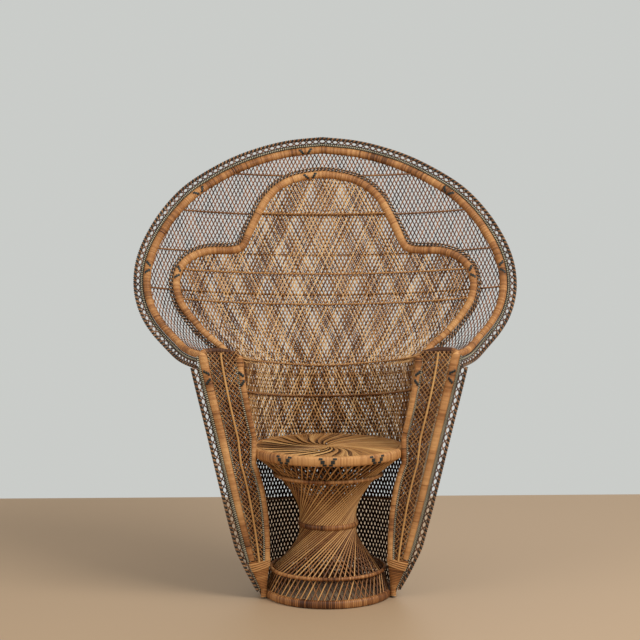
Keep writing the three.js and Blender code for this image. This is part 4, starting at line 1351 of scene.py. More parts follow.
@dataclass
class Pedestal:
    """The hourglass under the seat: its wound rings and two crossing layers of slanted strands
    above and below the waist."""

    strand_count: int = 64
    strand_width: float = 0.0044
    strand_thickness: float = 0.0034
    waist_twist: float = math.radians(70)
    end_twist: float = math.radians(9)
    layer_gap: float = 0.0024
    tie_inset: float = 0.0016
    end_bite: float = 0.003
    tie_bite_below: float = 0.002
    tie_bite_above: float = 0.001
    # Painted light and shade: the outer layer's strands lighter, the layer under them darker.
    lit_and_shaded_layer_tones: tuple[float, float] = (0.84, 0.42)
    lower_shade: float = -0.24
    strand_tones: tuple[float, float] = (-0.36, 0.3)
    seed: int = 11

    def build(self) -> None:
        """Builds the rings and both halves of the strands."""
        WoundRing("base_ring", RING_DEPTH, 0.0058, 21, tone=0.4).build()
        WoundRing("lower_tie_ring", TIE_DEPTH, 0.0048, 22, sides=10, tone=0.6, square=2.0).build()
        WoundRing("waist_ring", WAIST_DEPTH, 0.0052, 23, tone=0.5, square=2.2).build()
        WoundRing("upper_tie_ring", TIE_DEPTH, 0.0048, 24, sides=10, tone=0.66, square=2.0).build()
        self.build_half("pedestal_strands_lower", "base_ring", "lower_tie_ring")
        self.build_half("pedestal_strands_upper", "seat_ring", "upper_tie_ring")

    def stops(self, end: str, tie: str) -> Array:
        """Where a strand is held.

        Args:
            end: the ring at its far end.
            tie: the ring that ties it near the waist.

        Returns:
            Radius, height and turn at the end ring, at the tie ring and at the waist.
        """
        end_outer, end_low, end_high = ring_sizes(end)
        tie_outer, tie_low, tie_high = ring_sizes(tie)
        waist_outer, waist_low, waist_high = ring_sizes("waist_ring")
        if end_low < tie_low:
            sign = -1
            heights = (end_high - self.end_bite, tie_low + self.tie_bite_below,
                       waist_low + self.end_bite)
        else:
            sign = 1
            heights = (end_low + self.end_bite, tie_high - self.tie_bite_above,
                       waist_high - self.end_bite)
        radii = (end_outer - RING_DEPTH / 2,
                 tie_outer - TIE_DEPTH - self.tie_inset - self.layer_gap / 2,
                 waist_outer - WAIST_DEPTH / 2)
        turns = (sign * (self.end_twist + self.waist_twist), sign * self.waist_twist, 0.0)
        return np.stack([radii, heights, turns], 1)

    def build_half(self, node: str, end: str, tie: str) -> None:
        """Builds the two crossing layers between an end ring and the waist.

        Args:
            node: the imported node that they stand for.
            end: the ring at their far end.
            tie: the ring that ties them near the waist.
        """
        stops = self.stops(end, tie)
        for lean, lit_or_shaded_tone in zip(Lean, self.lit_and_shaded_layer_tones):
            draft = MeshDraft()
            rng = np.random.default_rng(self.seed + lean.value)
            # Painted shade: the inner layer, lying under the outer one, is darker than the outer layer.
            base = lit_or_shaded_tone + (self.lower_shade if "lower" in node else 0.0)
            section = oval(self.strand_width / 2, self.strand_thickness / 2, len(ROUND_PAINTED_SHADING))
            for strand in range(self.strand_count):
                route = self.strand(stops, TURN * strand / self.strand_count, lean)
                tone = base + rng.uniform(*self.strand_tones)
                shades = np.broadcast_to(tone + ROUND_PAINTED_SHADING, (len(route.at), len(ROUND_PAINTED_SHADING)))
                draft.add_sweep(route, section, shades)
            replaced = [node] if lean is Lean.RIGHT else []
            draft.build(f"{node}_{lean.name.lower()}", STRAND_CANE, "net_cane", replaced)

    def strand(self, stops: Array, turn: float, lean: Lean) -> Route:
        """One strand, straight between its stops.

        Args:
            stops: radius, height and turn at each stop.
            turn: angle round the pedestal at which the strand meets the waist.
            lean: its layer, which sets how it twists and how far out it lies.

        Returns:
            The strand's route.
        """
        radius = stops[:, 0] + self.layer_gap / 2 * lean.value
        angle = turn + stops[:, 2] * lean.value
        corners = np.stack([radius * np.cos(angle), radius * np.sin(angle), stops[:, 1]], 1)
        share = np.concatenate([np.linspace(0, 1, 5)[:-1], np.linspace(1, 2, 13)])
        places = read_off(share, np.arange(3), corners)
        return Route(places, unit(places * np.array([1.0, 1.0, 0.0])))


@dataclass
class Seat:
    """The seat: a wound apron ring with black chevrons, and petals of strands that swirl out of
    the middle."""

    petals: int = 26
    strands_per_petal: int = 7
    swirl: float = 0.13 * TURN
    swirl_power: float = 1.5
    hub_share: float = 0.012
    rim_overlap: float = 0.004
    strand_width: float = 0.0068
    strand_thickness: float = 0.0018
    taper_power: float = 0.55
    taper_least: float = 0.3
    crowding: float = 1.06
    top_inset: float = 0.0012
    dish: float = 0.004
    petal_tilt: float = 0.0040
    under_drop: float = 0.0028
    petal_tone: float = 0.64
    petal_tones: tuple[float, float] = (-0.26, 0.2)
    strand_scatter: float = 0.26
    # Painted shade on the layer of strands under the top layer.
    under_painted_shade: float = -0.6
    # Painted shadow where the next petal overlaps a strand.
    overlap_painted_shadow: float = -0.55
    mark_angles: tuple[float, ...] = (-0.626, -0.041, 0.628)
    seed: int = 31

    def build(self) -> None:
        """Builds the ring, its marks and the deck."""
        ring = WoundRing("seat_ring", RING_DEPTH, 0.0042, 25, tone=0.92).build()
        marks = MeshDraft()
        chevrons = Chevrons(ring, patch_length=0.011, patch_size=0.0062, step_along=0.0055,
                            step_across=0.0078, half_gap=0.0088)
        for angle in self.mark_angles:
            distance = ((angle + math.pi) % TURN) / TURN * ring.route.length()
            direction = np.array([math.sin(angle), -math.cos(angle), 0.0])
            chevrons.add(marks, distance, direction)
        marks.build("seat_ring_marks", RING_CANE, "wrapped_ring")
        self.build_deck()

    def build_deck(self) -> None:
        """Builds the swirled strands of the deck."""
        outer, _, top = ring_sizes("seat_ring")
        rim = outer - RING_DEPTH + self.rim_overlap
        draft = MeshDraft()
        rng = np.random.default_rng(self.seed)
        for layer in Lean:
            under = layer is Lean.LEFT
            # The lower layer gets painted shade.
            drop, shade = (self.under_drop, self.under_painted_shade) if under else (0.0, 0.0)
            for petal in range(self.petals):
                tone = self.petal_tone + shade + rng.uniform(*self.petal_tones)
                for strand in range(self.strands_per_petal):
                    across = (strand + 0.5) / self.strands_per_petal
                    route = self.strand(petal, across, rim, top - drop, layer)
                    share = np.linspace(1, self.hub_share, len(route.at))
                    taper = np.clip(share ** self.taper_power, self.taper_least, 1)
                    width = self.strand_width * taper
                    sizes = np.stack([width, np.full_like(width, self.strand_thickness)], 1)
                    # Painted shadow: each strand darker towards the petal's edge that the next petal
                    # overlaps.
                    own = (tone + rng.uniform(-self.strand_scatter, self.strand_scatter)
                           + self.overlap_painted_shadow * (1 - across) ** 2)
                    draft.add_sweep(route, flat_strand(1, 1) * sizes[:, None], own)
        draft.build("seat_deck_strands", SEAT_CANE, "pale_cane", ["seat_deck"])

    def strand(self, petal: int, across: float, rim: float, top: float, layer: Lean) -> Route:
        """One strand of a petal, from the ring to the middle.

        Args:
            petal: the petal's number round the seat.
            across: the strand's place in its petal, from 0 to 1.
            rim: radius at which the strand starts.
            top: height of the ring's top over the strand's layer.
            layer: the upper layer swirls right and the one under it left.

        Returns:
            The strand's route.
        """
        share = np.linspace(1, self.hub_share, 18)
        spread = TURN / self.petals
        pinch = spread * (across - 0.5) * self.crowding * np.minimum(share * 1.1, 1)
        swirl = layer.value * self.swirl * (1 - share) ** self.swirl_power
        angle = spread * petal + pinch + swirl
        tilt = self.petal_tilt * (across - 0.5) * np.sqrt(share) * np.minimum(1, (1 - share) * 14)
        height = top - self.top_inset - self.dish * (1 - share ** 2)
        height = height + (tilt if layer is Lean.RIGHT else 0.0)
        places = np.stack([rim * share * np.cos(angle), rim * share * np.sin(angle), height], 1)
        return Route(places, np.tile([0.0, 0.0, 1.0], (len(share), 1)))


@dataclass
class PoleBorder:
    """Openwork outside a pole: a stitched line with a thin one on each side, eyes, and a rope
    as its edge."""

    edge: Route
    node: str
    trim: tuple[float, float]
    seed: int
    reach: float = 0.0315
    foot_reach: float = 0.0315
    narrowing: float = 0.15
    step: float = 0.006
    stitch_place: float = 0.0044
    line_places: tuple[float, float] = (0.0008, 0.0084)
    eye_place: float = 0.0158
    eye_half: float = 0.0062
    eye_length: float = 0.0205
    strand_width: float = 0.0042
    strand_thickness: float = 0.003
    rope_inset: float = 0.0064

    def build(self) -> None:
        """Builds the lines, the eyes and the rope as three pieces."""
        kept = self.edge.part(self.trim[0], self.edge.length() - self.trim[1], self.step)
        far = mix(self.foot_reach, self.reach, np.minimum(kept.distances() / self.narrowing, 1))
        scale = far / self.reach
        stitch = MeshDraft()
        STITCH_CORD.lay(stitch, kept.moved(0.0, self.stitch_place * scale), self.seed)
        for place in self.line_places:
            LINE_CORD.lay(stitch, kept.moved(0.0, place * scale), self.seed)
        stitch.build(f"{self.node}_stitch", EDGE_CANE, "lace_cane")
        lace = MeshDraft()
        chain = ChainBorder(self.eye_length, self.eye_half, self.strand_width,
                            self.strand_thickness)
        chain.lay(lace, kept, self.eye_place * scale, self.seed + 1, tones=(0.1, 0.7), scale=scale)
        lace.build(f"{self.node}_eyes", LACE_CANE, "lace_cane", [self.node])
        rope = MeshDraft()
        ROPE_CORD.lay(rope, kept.moved(0.0, far - self.rope_inset), self.seed + 2)
        rope.build(f"{self.node}_rope", LACE_CANE, "lace_cane")


@dataclass
class BackShells:
    """Both nets with their hoops, the fan's rim and the clover frame with marks and borders."""

    net_pitch: float = 0.0127
    inner_pitch: float = 0.0112
    rim_half: tuple[float, float] = (0.0125, 0.0105)
    rim_tone: float = 0.48
    rim_marks: tuple[float, ...] = (-0.62, -0.36, -0.045, 0.36, 0.62)
    rim_border_trim: tuple[float, float] = (0.03, 0.03)
    clover_half: tuple[float, float] = (0.0122, 0.0098)
    clover_end_half: float = 0.0086
    clover_taper_share: float = 0.06
    clover_tone: float = 0.64
    clover_marks: tuple[float, ...] = (-0.53, -0.035, 0.53)
    clover_lace_trim: float = 0.1
    clover_lace_place: float = 0.0058
    clover_cord_places: tuple[float, float] = (0.0020, 0.0096)
    outer_hoop_levels: tuple[float, ...] = (0.2523, 0.6347, 0.8896, 1.0171, 1.1445, 1.2720)
    inner_hoop_levels: tuple[float, ...] = (0.5737, 0.6697, 0.8619, 0.9580, 1.1502)
    outer_hoop_shades: tuple[float, float] = (0.5, 0.3)
    inner_hoop_shades: tuple[float, float] = (0.95, 0.5)
    dark_hoop_shades: tuple[float, float] = (0.55, 0.3)
    dark_hoop_level: float = 0.6
    hoop_half_arc: float = 0.9
    hoop_stations: int = 721
    hoop_strand: float = 0.0017
    hoop_twist: float = 0.012
    hoop_inset: float = 0.0055

    def build(self) -> None:
        """Builds everything that hangs on the two shells."""
        self.build_nets()
        self.build_hoops()
        self.build_rim()
        self.build_clover()

    def build_nets(self) -> None:
        """Weaves the two nets, one piece for each direction."""
        outer = WovenNet(PATTERN.outer, PATTERN.outer_outline(), self.net_pitch)
        inner = WovenNet(PATTERN.inner, PATTERN.inner_outline(), self.inner_pitch,
                         strand_width=0.0036, low_strand_width=0.0038, thick_level=0.5,
                         low_painted_shade=0.0, side_painted_shade=-0.4, floor_height=0.445, seed=7,
                         dark_tones=(0.15, 0.5), light_tones=(0.6, 1.1), dark_share=0.38)
        for net, node, finish in ((outer, "outer_net", NET_CANE), (inner, "inner_net", WALL_CANE)):
            for lean in Lean:
                draft = MeshDraft()
                net.weave_into(draft, lean)
                replaced = [node] if lean is Lean.RIGHT else []
                draft.build(f"{node}_{lean.name.lower()}", finish, "net_cane", replaced)

    def hoop(self, shell: Shell, outline: Array, level: float) -> Route:
        """A hoop at one level of a shell, from the middle of the back to the net's edges.

        Args:
            shell: the shell that it holds in shape.
            outline: closed outline of the shell's net.
            level: the hoop's level.

        Returns:
            The hoop's route, on the sitter's side of the net.
        """
        arcs = np.linspace(-self.hoop_half_arc, self.hoop_half_arc, self.hoop_stations)
        places = np.stack([arcs, np.full_like(arcs, level)], 1)
        kept = inside(places, outline)
        middle = len(arcs) // 2
        first = middle - np.argmin(kept[middle::-1]) + 1 if not kept[:middle].all() else 0
        last = middle + np.argmin(kept[middle:]) if not kept[middle:].all() else len(arcs)
        return shell.route(places[first:last]).moved(0.0, -self.hoop_inset)

    def build_hoops(self) -> None:
        """Builds the twined hoops that hold the nets in shape."""
        walls = (("outer", PATTERN.outer, PATTERN.outer_outline(), self.outer_hoop_levels,
                  self.outer_hoop_shades),
                 ("inner", PATTERN.inner, PATTERN.inner_outline(), self.inner_hoop_levels,
                  self.inner_hoop_shades))
        for name, shell, outline, levels, shades in walls:
            for number, level in enumerate(levels, 1):
                dark = name == "inner" and level <= self.dark_hoop_level
                cord = TwistedCord(self.hoop_strand, self.hoop_twist, dyes=(0.0, 0.0),
                                   shades=self.dark_hoop_shades if dark else shades)
                node = f"{name}_hoop_{number}"
                draft = MeshDraft()
                cord.lay(draft, self.hoop(shell, outline, level), seed=number)
                draft.build(f"{node}_cord", STRAND_CANE, "bare_pole", [node])

    def build_frame(self, node: str, pole: WoundPole, marks: Iterable[float]) -> None:
        """Builds the rim or the clover frame, with its marks.

        Args:
            node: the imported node.
            pole: the pole to wind.
            marks: places of the marks from the middle, as shares of half the pole's length.
        """
        pole.build(node)
        middle = pole.route.length() / 2
        Chevrons(pole).build(node, [middle + spot * middle for spot in marks])

    def build_rim(self) -> None:
        """Builds the fan's rim with its marks and openwork border."""
        pole = WoundPole(PATTERN.rim(), *self.rim_half, seed=41, tone=self.rim_tone)
        self.build_frame("fan_rim", pole, self.rim_marks)
        edge = front_edge(pole.route, self.rim_half[0], 1.0)
        PoleBorder(edge, "fan_lace", self.rim_border_trim, 51).build()

    def build_clover(self) -> None:
        """Builds the clover frame with its marks and narrow scalloped border."""
        nearness = 1 - np.abs(np.linspace(-1, 1, 201))
        halves = [mix(self.clover_end_half, half, ease_both(nearness / self.clover_taper_share))
                  for half in self.clover_half]
        pole = WoundPole(PATTERN.clover(), *halves, seed=42, tone=self.clover_tone, scatter=0.18)
        self.build_frame("clover_frame", pole, self.clover_marks)
        edge = front_edge(pole.route, self.clover_half[0], 1.0)
        trim = self.clover_lace_trim
        kept = edge.part(trim, edge.length() - trim, 0.004)
        lace = MeshDraft()
        ChainBorder(0.0115, 0.0026, 0.0020, 0.002).lay(lace, kept, self.clover_lace_place, seed=52,
                                                       tones=(0.0, 0.4))
        for place in self.clover_cord_places:
            CLOVER_CORD.lay(lace, kept.moved(0.0, place), seed=53)
        lace.build("clover_lace_work", LACE_CANE, "lace_cane", ["clover_lace"])


@dataclass
class Arm:
    """One arm: wound rails, the bow over the top, the wrapped foot, the crossed panel with its
    spine, stitched lines and the border."""

    side: Side
    outer_top_half: float = 0.0142
    outer_foot_half: float = 0.0102
    outer_half_deep: float = 0.0102
    inner_half: float = 0.0093
    samples: int = 121
    bow_rise: float = 0.014
    bow_reach: float = 0.022
    bow_end_half: float = 0.0065
    bow_end_share: float = 0.8
    rail_tone: float = 0.68
    # Painted shade: the bow over the arm's top is wound darker, as it lies in shade.
    shaded_bow_tone: float = -0.05
    rail_mark_drop: float = 0.064
    inner_mark_drop: float = 0.062
    outer_stitch_gap: float = 0.0016
    outer_stitch_front: float = 0.004
    inner_stitch_gap: float = 0.001
    inner_stitch_front: float = 0.0035
    knot_half: float = 0.0115
    knot_length: float = 0.026
    knot_tone: float = 0.4
    bulge: float = 0.014
    panel_pitch: float = 0.0125
    panel_slope_share: float = 0.84
    panel_top_reach: float = 0.012
    panel_half_reach: float = 0.1
    panel_thickness: float = 0.0018
    panel_weave: float = 0.0009
    front_layer: tuple[float, float, float] = (0.0, 0.0025, 0.64)
    # A back layer of strands whose very dark tone is painted shade for the hollow inside the arm.
    shaded_lining_layer: tuple[float, float, float] = (-0.0032, 0.0062, -0.2)
    panel_tones: tuple[float, float] = (-0.25, 0.2)
    spine_half: float = 0.0028
    spine_lift: float = 0.0036
    spine_step: float = 0.004
    spine_tone: float = 0.76
    foot_facets: int = 32
    foot_facet: float = 1.5
    foot_clearance: float = 0.0003
    foot_tip_half: float = 0.009
    foot_half_deep: float = 0.008
    foot_gap: float = 0.004
    foot_rise: float = 0.003
    foot_tone: float = 0.56
    foot_cords: int = 4
    foot_cord_drop: float = 0.0068
    foot_cord_start: float = 0.7
    foot_cord_slope: float = 0.005
    foot_cord_radius: float = 0.0024
    border_foot_reach: float = 0.016
    border_trim: tuple[float, float] = (0.0, 0.03)

    def build(self) -> None:
        """Builds the whole arm."""
        self.build_outer_rail()
        self.build_inner_rail()
        self.build_foot()
        self.build_panel()
        self.build_spine()
        self.build_border()

    def bow(self) -> Route:
        """The outer rail's end, bent inwards over the top of the arm.

        Returns:
            The right-hand bow's route.
        """
        rail = PATTERN.outer_rail()
        start = rail.at[-1]
        finish = PATTERN.inner_rail().at[-1]
        along, _, _ = rail.frames()
        across = np.cross(along[-1], rail.out[-1])
        share = np.linspace(0, self.bow_end_share, 22)[1:]
        half = share * math.pi
        arch = np.sin(half)[:, None] * np.array([0, self.bow_reach, self.bow_rise])
        places = start + (finish - start) * ((1 - np.cos(half)) / 2)[:, None] + arch
        tangent = unit(np.gradient(np.vstack([start, places]), axis=0))[1:]
        return Route(places, unit(np.cross(across, tangent)))

    def outer_route(self) -> tuple[Route, Array, Array]:
        """The outer rail and its bow as one pole.

        Returns:
            The route on this side, and the half widths and half depths at even steps along it.
        """
        rail, bow = PATTERN.outer_rail(), self.bow()
        route = rail.joined(bow)
        lift = np.concatenate([
            np.linspace(self.outer_foot_half, self.outer_top_half, len(rail.at)),
            np.linspace(self.outer_top_half, self.bow_end_half, len(bow.at))])
        across = np.concatenate([
            np.full(len(rail.at), self.outer_half_deep),
            np.linspace(self.outer_half_deep, self.bow_end_half, len(bow.at))])
        known = route.distances() / route.length()
        even = np.linspace(0, 1, self.samples)
        side_route = route.flipped_for(self.side)
        return side_route, np.interp(even, known, across), np.interp(even, known, lift)

    def build_outer_rail(self) -> None:
        """Builds the wound outer rail with its bow, its chevron and two stitched lines."""
        route, across, lift = self.outer_route()
        name = f"outer_rail_{self.side.label}"
        rail = PATTERN.outer_rail()
        stations = len(rail.at)
        # Painted shade: the winding darkens from the rail's tone to the shaded bow's.
        bow_share = ease_both(np.linspace(0, 3, len(self.bow().at)))
        tone = np.concatenate([np.full(stations, self.rail_tone),
                               mix(self.rail_tone, self.shaded_bow_tone, bow_share)])
        known = route.distances() / route.length()
        even = np.linspace(0, 1, self.samples)
        pole = WoundPole(route, across, lift, seed=61 + self.side.value, scatter=0.16,
                         tone=np.interp(even, known, tone))
        pole.build(name)
        Chevrons(pole).build(name, [rail.length() - self.rail_mark_drop],
                             float(self.side.value))
        stitch = MeshDraft()
        front = -self.side.value * self.outer_stitch_front
        half = np.interp(known, even, lift)
        inward = route.moved(front, -half - self.outer_stitch_gap)
        outward = route.moved(front, half + self.outer_stitch_gap)
        RAIL_CORD.lay(stitch, inward, seed=3)
        RAIL_CORD.lay(stitch, Route(outward.at[:stations], outward.out[:stations]), seed=4)
        stitch.build(f"{name}_stitch", EDGE_CANE, "lace_cane")

    def build_inner_rail(self) -> None:
        """Builds the wound inner rail with its knot, chevron and stitched line."""
        route = PATTERN.inner_rail().flipped_for(self.side)
        name = f"inner_rail_{self.side.label}"
        pole = WoundPole(route, self.inner_half, self.inner_half, seed=65 + self.side.value,
                         tone=self.rail_tone, scatter=0.18)
        draft = MeshDraft()
        pole.wind(draft)
        knot = route.part(route.length() - self.knot_length, route.length(), 0.003)
        WoundPole(knot, self.knot_half, self.knot_half, 0.003, seed=69 + self.side.value,
                  tone=self.knot_tone).wind(draft)
        draft.build(f"{name}_winding", POLE_CANE, "wrapped_pole", [name])
        chevrons = Chevrons(pole, patch_size=0.0062, step_across=0.0042)
        chevrons.build(name, [route.length() - self.inner_mark_drop], float(self.side.value))
        stitch = MeshDraft()
        front = -self.side.value * self.inner_stitch_front
        RAIL_CORD.lay(stitch, route.moved(front, self.inner_half + self.inner_stitch_gap), seed=5)
        stitch.build(f"{name}_stitch", EDGE_CANE, "lace_cane")

    def foot_route(self) -> tuple[Route, Array]:
        """The wrapped foot, from its tip beside the base ring up to both rails.

        Returns:
            The route on this side and the half width at each station.
        """
        outer, _, base_top = ring_sizes("base_ring")
        angle = -TURN / self.foot_facets * self.foot_facet
        radius = (outer * math.cos(math.pi / self.foot_facets) + self.foot_clearance
                  + self.foot_tip_half)
        tip = np.array([radius * math.cos(angle), radius * math.sin(angle), 0.0])
        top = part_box(f"foot_wrap_{self.side.label}")[1].z
        inner_edge = PATTERN.inner_foot_half_width - self.inner_half
        outer_edge = PATTERN.outer_rail().at[0, 0] + self.outer_foot_half
        crown = np.array([(inner_edge + outer_edge) / 2, -PATTERN.inner_foot_reach, top])
        low, high = tip + [0, 0, self.foot_gap], tip + [0, 0, base_top + self.foot_rise]
        tip_out = np.array([math.sin(angle), -math.cos(angle), 0.0])
        share = np.linspace(0, 1, 12)[:, None]
        places = np.vstack([low[None], mix(high, crown, share)])
        outs = np.vstack([tip_out[None], unit(mix(tip_out, FRONT, share))])
        widening = mix(self.foot_tip_half, (outer_edge - inner_edge) / 2, share[:, 0])
        halves = np.concatenate([[self.foot_tip_half], widening])
        return Route(places, outs).flipped_for(self.side), halves

    def build_foot(self) -> None:
        """Builds the foot, wound across both rails, with the cords tied round its top."""
        route, halves = self.foot_route()
        known = route.distances() / route.length()
        even = np.linspace(0, 1, 40)
        pole = WoundPole(route, np.interp(even, known, halves), self.foot_half_deep,
                         turn_pitch=0.0052, groove=0.0004, groove_painted_shade=-0.7, lean=0.003, sides=18,
                         seed=71 + self.side.value, tone=self.foot_tone, scatter=0.16)
        draft = MeshDraft()
        pole.wind(draft)
        slope = -self.side.value * self.foot_cord_slope
        for number in range(self.foot_cords):
            drop = self.foot_cord_drop * (number + self.foot_cord_start)
            pole.cross_strand(draft, route.length() - drop, slope, self.foot_cord_radius)
        name = f"foot_wrap_{self.side.label}"
        draft.build(f"{name}_winding", POLE_CANE, "wrapped_pole", [name])

    @staticmethod
    def rails_at(height: Array) -> tuple[Array, Array]:
        """Places on the inner and on the outer rail at heights above the floor."""
        inner, outer = PATTERN.inner_rail().at, PATTERN.outer_rail().at
        return read_off(height, inner[:, 2], inner), read_off(height, outer[:, 2], outer)

    def panel_point(self, x: Array, height: Array) -> Array:
        """Places on the panel.

        Args:
            x: distances from the middle between the rails, towards the outer rail.
            height: heights above the floor.

        Returns:
            The place of each distance and height, on the right-hand arm.
        """
        inner, outer = self.rails_at(height)
        width = np.linalg.norm(outer - inner, axis=-1)
        share = 0.5 + x / width
        bulge = self.bulge * width / (PATTERN.outer.arm_half_width - PATTERN.inner.arm_half_width)
        places = inner + (outer - inner) * share[..., None]
        places[..., 1] -= bulge * share * (1 - share) * 4
        places[..., 2] = height
        return places

    def panel_half_width(self, height: Array) -> Array:
        """Half the distance between the rails."""
        inner, outer = self.rails_at(height)
        return np.linalg.norm(outer - inner, axis=-1) / 2

    def panel_route(self, x: Array, height: Array) -> Route:
        """A route over the panel."""
        across, up = small_steps(self.panel_point, x, height)
        return Route(self.panel_point(x, height), unit(np.cross(across, up)))

    def panel_ends(self) -> tuple[float, float]:
        """Heights of the panel's foot and top."""
        foot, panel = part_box(f"foot_wrap_{self.side.label}"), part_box(f"arm_panel_{self.side.label}")
        return foot[1].z, panel[1].z + self.panel_top_reach

    def build_panel(self) -> None:
        """Builds the crossed strands between the rails, a pale layer over a dark lining of painted
        shade.
        """
        bottom, top = self.panel_ends()
        row = self.panel_pitch / 2 / self.panel_slope_share
        rows = np.arange(math.floor(bottom / row), top / row, 0.5)
        height = rows * row
        half = self.panel_half_width(height)
        draft = MeshDraft()
        rng = np.random.default_rng(81 + self.side.value)
        reach = int(self.panel_half_reach / self.panel_pitch) + len(rows)
        for depth, width, base in (self.front_layer, self.shaded_lining_layer):
            section = diamond_strand(width, self.panel_thickness)
            for lean in Lean:
                for start in range(-2 * reach, 2 * reach, 2):
                    x = (start + lean.value * rows) * self.panel_pitch / 2
                    for run in runs(np.abs(x) < half):
                        route = self.panel_route(x[run], height[run])
                        over = depth + np.cos(math.pi * rows[run]) * lean.value * self.panel_weave
                        route = route.moved(0.0, over).flipped_for(self.side)
                        draft.add_sweep(route, section, base + rng.uniform(*self.panel_tones))
        name = f"arm_panel_{self.side.label}"
        draft.build(f"{name}_strands", STRAND_CANE, "net_cane", [name])

    def build_spine(self) -> None:
        """Builds the pale rod that runs up the middle of the panel."""
        bottom, top = self.panel_ends()
        heights = np.arange(bottom - self.spine_step, top, self.spine_step)
        route = self.panel_route(np.zeros_like(heights), heights).moved(0.0, self.spine_lift)
        tone = self.spine_tone + 0.1 * smooth_noise(len(heights), 9, np.random.default_rng(5))
        spine = MeshDraft()
        section = oval(self.spine_half, self.spine_half, 10)
        spine.add_sweep(route.flipped_for(self.side), section, tone)
        name = f"arm_spine_{self.side.label}"
        spine.build(f"{name}_rod", SEAT_CANE, "pale_cane", [name])

    def build_border(self) -> None:
        """Builds the openwork border outside the outer rail and the foot."""
        rail = PATTERN.outer_rail()
        half = np.linspace(self.outer_foot_half, self.outer_top_half, len(rail.at))
        rail_edge = front_edge(rail, half, -1.0)
        foot, halves = Arm(Side.RIGHT).foot_route()
        away = np.tile([1.0, 0.0, 0.0], (len(foot.at), 1))
        foot_edge = Route(foot.at + away * halves[:, None], away)
        lower = Route(foot_edge.at[1:-4], foot_edge.out[1:-4])
        edge = lower.joined(Route(rail_edge.at[2:], rail_edge.out[2:])).flipped_for(self.side)
        PoleBorder(edge, f"arm_lace_{self.side.label}", self.border_trim, 91 + self.side.value,
                   foot_reach=self.border_foot_reach, eye_length=0.023,
                   strand_width=0.0036).build()


@dataclass(frozen=True)
class BareFinish:
    """Round rattan with fine fibres and soft blotches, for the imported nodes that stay."""

    nodes: tuple[str, ...] = ("seat_bar_front", "seat_bar_rear", "shell_foot_hoop",
                              "seat_back_hoop")
    dark: Colour = (0.07, 0.03, 0.012)
    light: Colour = (0.36, 0.19, 0.075)
    fibre_noise: tuple[float, float, float] = (160, 5, 0.7)
    blotch_noise: tuple[float, float, float] = (11, 3, 0.5)
    fibre_tone: float = 0.7
    blotch_tone: float = 0.6
    tone_offset: float = -0.15
    roughness: float = 0.5
    bump: float = 0.3
    bump_distance: float = 0.0006

    def dress(self) -> None:
        """Gives the kept nodes their material."""
        nodes = NodeMaker("bare rattan")
        place = nodes.add("ShaderNodeTexCoord").outputs["Object"]
        fibre, blotch = (nodes.noise(*noise, place)
                         for noise in (self.fibre_noise, self.blotch_noise))
        tone = nodes.sum_of([(fibre, self.fibre_tone), (blotch, self.blotch_tone)],
                            self.tone_offset)
        nodes.link(nodes.ramp(tone, self.dark, self.light), nodes.shader.inputs["Base Color"])
        nodes.shader.inputs["Roughness"].default_value = self.roughness
        nodes.bump(fibre, self.bump, self.bump_distance)
        for name in self.nodes:
            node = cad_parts[name]
            node.data.materials.clear()
            node.data.materials.append(nodes.material)


@dataclass(frozen=True)
class Lamp:
    """A square soft light that looks at the middle of the chair."""

    name: str
    place: tuple[float, float, float]
    power: float
    size: float = 3.0
    aim: tuple[float, float, float] = (0, 0, 0.7)

    def hang(self) -> None:
        """Puts the lamp in the scene."""
        light = bpy.data.lights.new(self.name, "AREA")
        light.size = self.size
        light.energy = self.power
        lamp = bpy.data.objects.new(self.name, light)
        lamp.location = self.place
        direction = np.array(self.aim) - np.array(self.place)
        yaw = math.atan2(direction[1], direction[0]) - QUARTER
        pitch = math.atan2(direction[2], math.hypot(direction[0], direction[1])) + QUARTER
        lamp.rotation_euler = Euler((pitch, 0, yaw))
        bpy.context.scene.collection.objects.link(lamp)


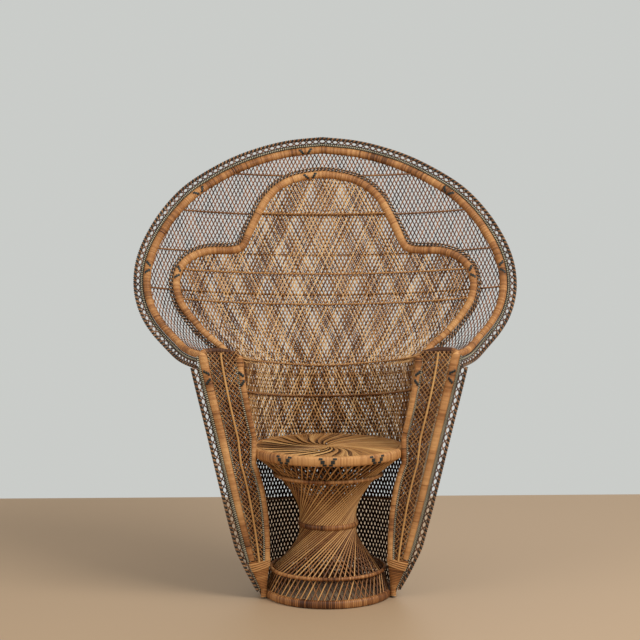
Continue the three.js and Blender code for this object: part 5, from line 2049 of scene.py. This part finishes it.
@dataclass
class Studio:
    """The pale floor, the plain background, the soft lights and the camera."""

    focal_length: float = 90.0
    sensor: float = 36.0
    distance: float = 4.81
    height: float = 1.229
    yaw: float = math.radians(2.0)
    tilt: float = math.atan(130 / 1600)
    aside: float = 0.024
    floor_behind: float = 1.55
    floor_reach: float = 12.0
    floor_colour: Colour = (0.42, 0.29, 0.175)
    floor_roughness: float = 0.55
    floor_specular: float = 0.2
    background_colour: Colour = (0.59, 0.605, 0.585)
    sky_colour: Colour = (1.0, 0.99, 0.97)
    sky_strength: float = 0.44
    lamps: tuple[Lamp, ...] = (
        Lamp("key", (3.0, -2.6, 4.2), 250),
        Lamp("fill", (-3.5, -2.5, 2.4), 60),
        Lamp("rear", (1.5, 4.2, 3.2), 30),
    )

    def build(self) -> None:
        """Builds the set."""
        self.build_floor()
        self.build_sky()
        for lamp in self.lamps:
            lamp.hang()
        self.place_camera()
        bpy.context.scene.view_settings.view_transform = "Standard"

    def build_floor(self) -> None:
        """A wide floor that ends where the photograph's wall starts."""
        back, reach = AXIS_Y + self.floor_behind, self.floor_reach
        corners = [(-reach, -reach, 0), (reach, -reach, 0), (reach, back, 0), (-reach, back, 0)]
        mesh = bpy.data.meshes.new("floor")
        mesh.from_pydata(corners, [], [(0, 1, 2, 3)])
        nodes = NodeMaker("floor")
        nodes.shader.inputs["Base Color"].default_value = (*self.floor_colour, 1)
        nodes.shader.inputs["Roughness"].default_value = self.floor_roughness
        nodes.shader.inputs["Specular IOR Level"].default_value = self.floor_specular
        mesh.materials.append(nodes.material)
        floor = bpy.data.objects.new("floor", mesh)
        bpy.context.scene.collection.objects.link(floor)

    def build_sky(self) -> None:
        """An even sky that lights the chair, and a plain pale background for the camera, for
        reflections and for glass."""
        world = bpy.data.worlds.new("sky")
        bpy.context.scene.world = world
        world.use_nodes = True
        tree = world.node_tree
        light, out = tree.nodes["Background"], tree.nodes["World Output"]
        light.inputs["Color"].default_value = (*self.sky_colour, 1)
        light.inputs["Strength"].default_value = self.sky_strength
        plain = tree.nodes.new("ShaderNodeBackground")
        plain.inputs["Color"].default_value = (*self.background_colour, 1)
        path = tree.nodes.new("ShaderNodeLightPath")
        shown = path.outputs["Is Camera Ray"]
        for kind in ("Is Glossy Ray", "Is Transmission Ray"):
            either = tree.nodes.new("ShaderNodeMath")
            either.operation = "MAXIMUM"
            tree.links.new(shown, either.inputs[0])
            tree.links.new(path.outputs[kind], either.inputs[1])
            shown = either.outputs[0]
        blend = tree.nodes.new("ShaderNodeMixShader")
        tree.links.new(shown, blend.inputs[0])
        tree.links.new(light.outputs[0], blend.inputs[1])
        tree.links.new(plain.outputs[0], blend.inputs[2])
        tree.links.new(blend.outputs[0], out.inputs["Surface"])

    def place_camera(self) -> None:
        """The camera at the photograph's viewing angle."""
        camera = bpy.data.cameras.new("camera")
        camera.lens = self.focal_length
        camera.sensor_width = self.sensor
        eye = bpy.data.objects.new("camera", camera)
        forward = np.array([math.sin(self.yaw), math.cos(self.yaw), 0])
        right = np.array([math.cos(self.yaw), -math.sin(self.yaw), 0])
        place = np.array([0, AXIS_Y, self.height]) - forward * self.distance - right * self.aside
        eye.location = place
        eye.rotation_euler = Euler((QUARTER - self.tilt, 0, -self.yaw))
        bpy.context.scene.collection.objects.link(eye)
        bpy.context.scene.camera = eye


def write_sizes() -> None:
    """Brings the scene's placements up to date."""
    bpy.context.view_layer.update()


def main() -> None:
    """Builds the set and the chair's sub-assemblies in order."""
    logging.basicConfig(level=logging.INFO, format="%(message)s")
    builders: list[tuple[str, Callable[[], None]]] = [
        ("studio", Studio().build),
        ("pedestal", Pedestal().build),
        ("seat", Seat().build),
        ("back", BackShells().build),
        ("right arm", Arm(Side.RIGHT).build),
        ("left arm", Arm(Side.LEFT).build),
        ("bare poles", BareFinish().dress),
    ]
    for name, build in builders:
        build()
        log.info("built %s", name)
    write_sizes()


if __name__ == "__main__":
    main()
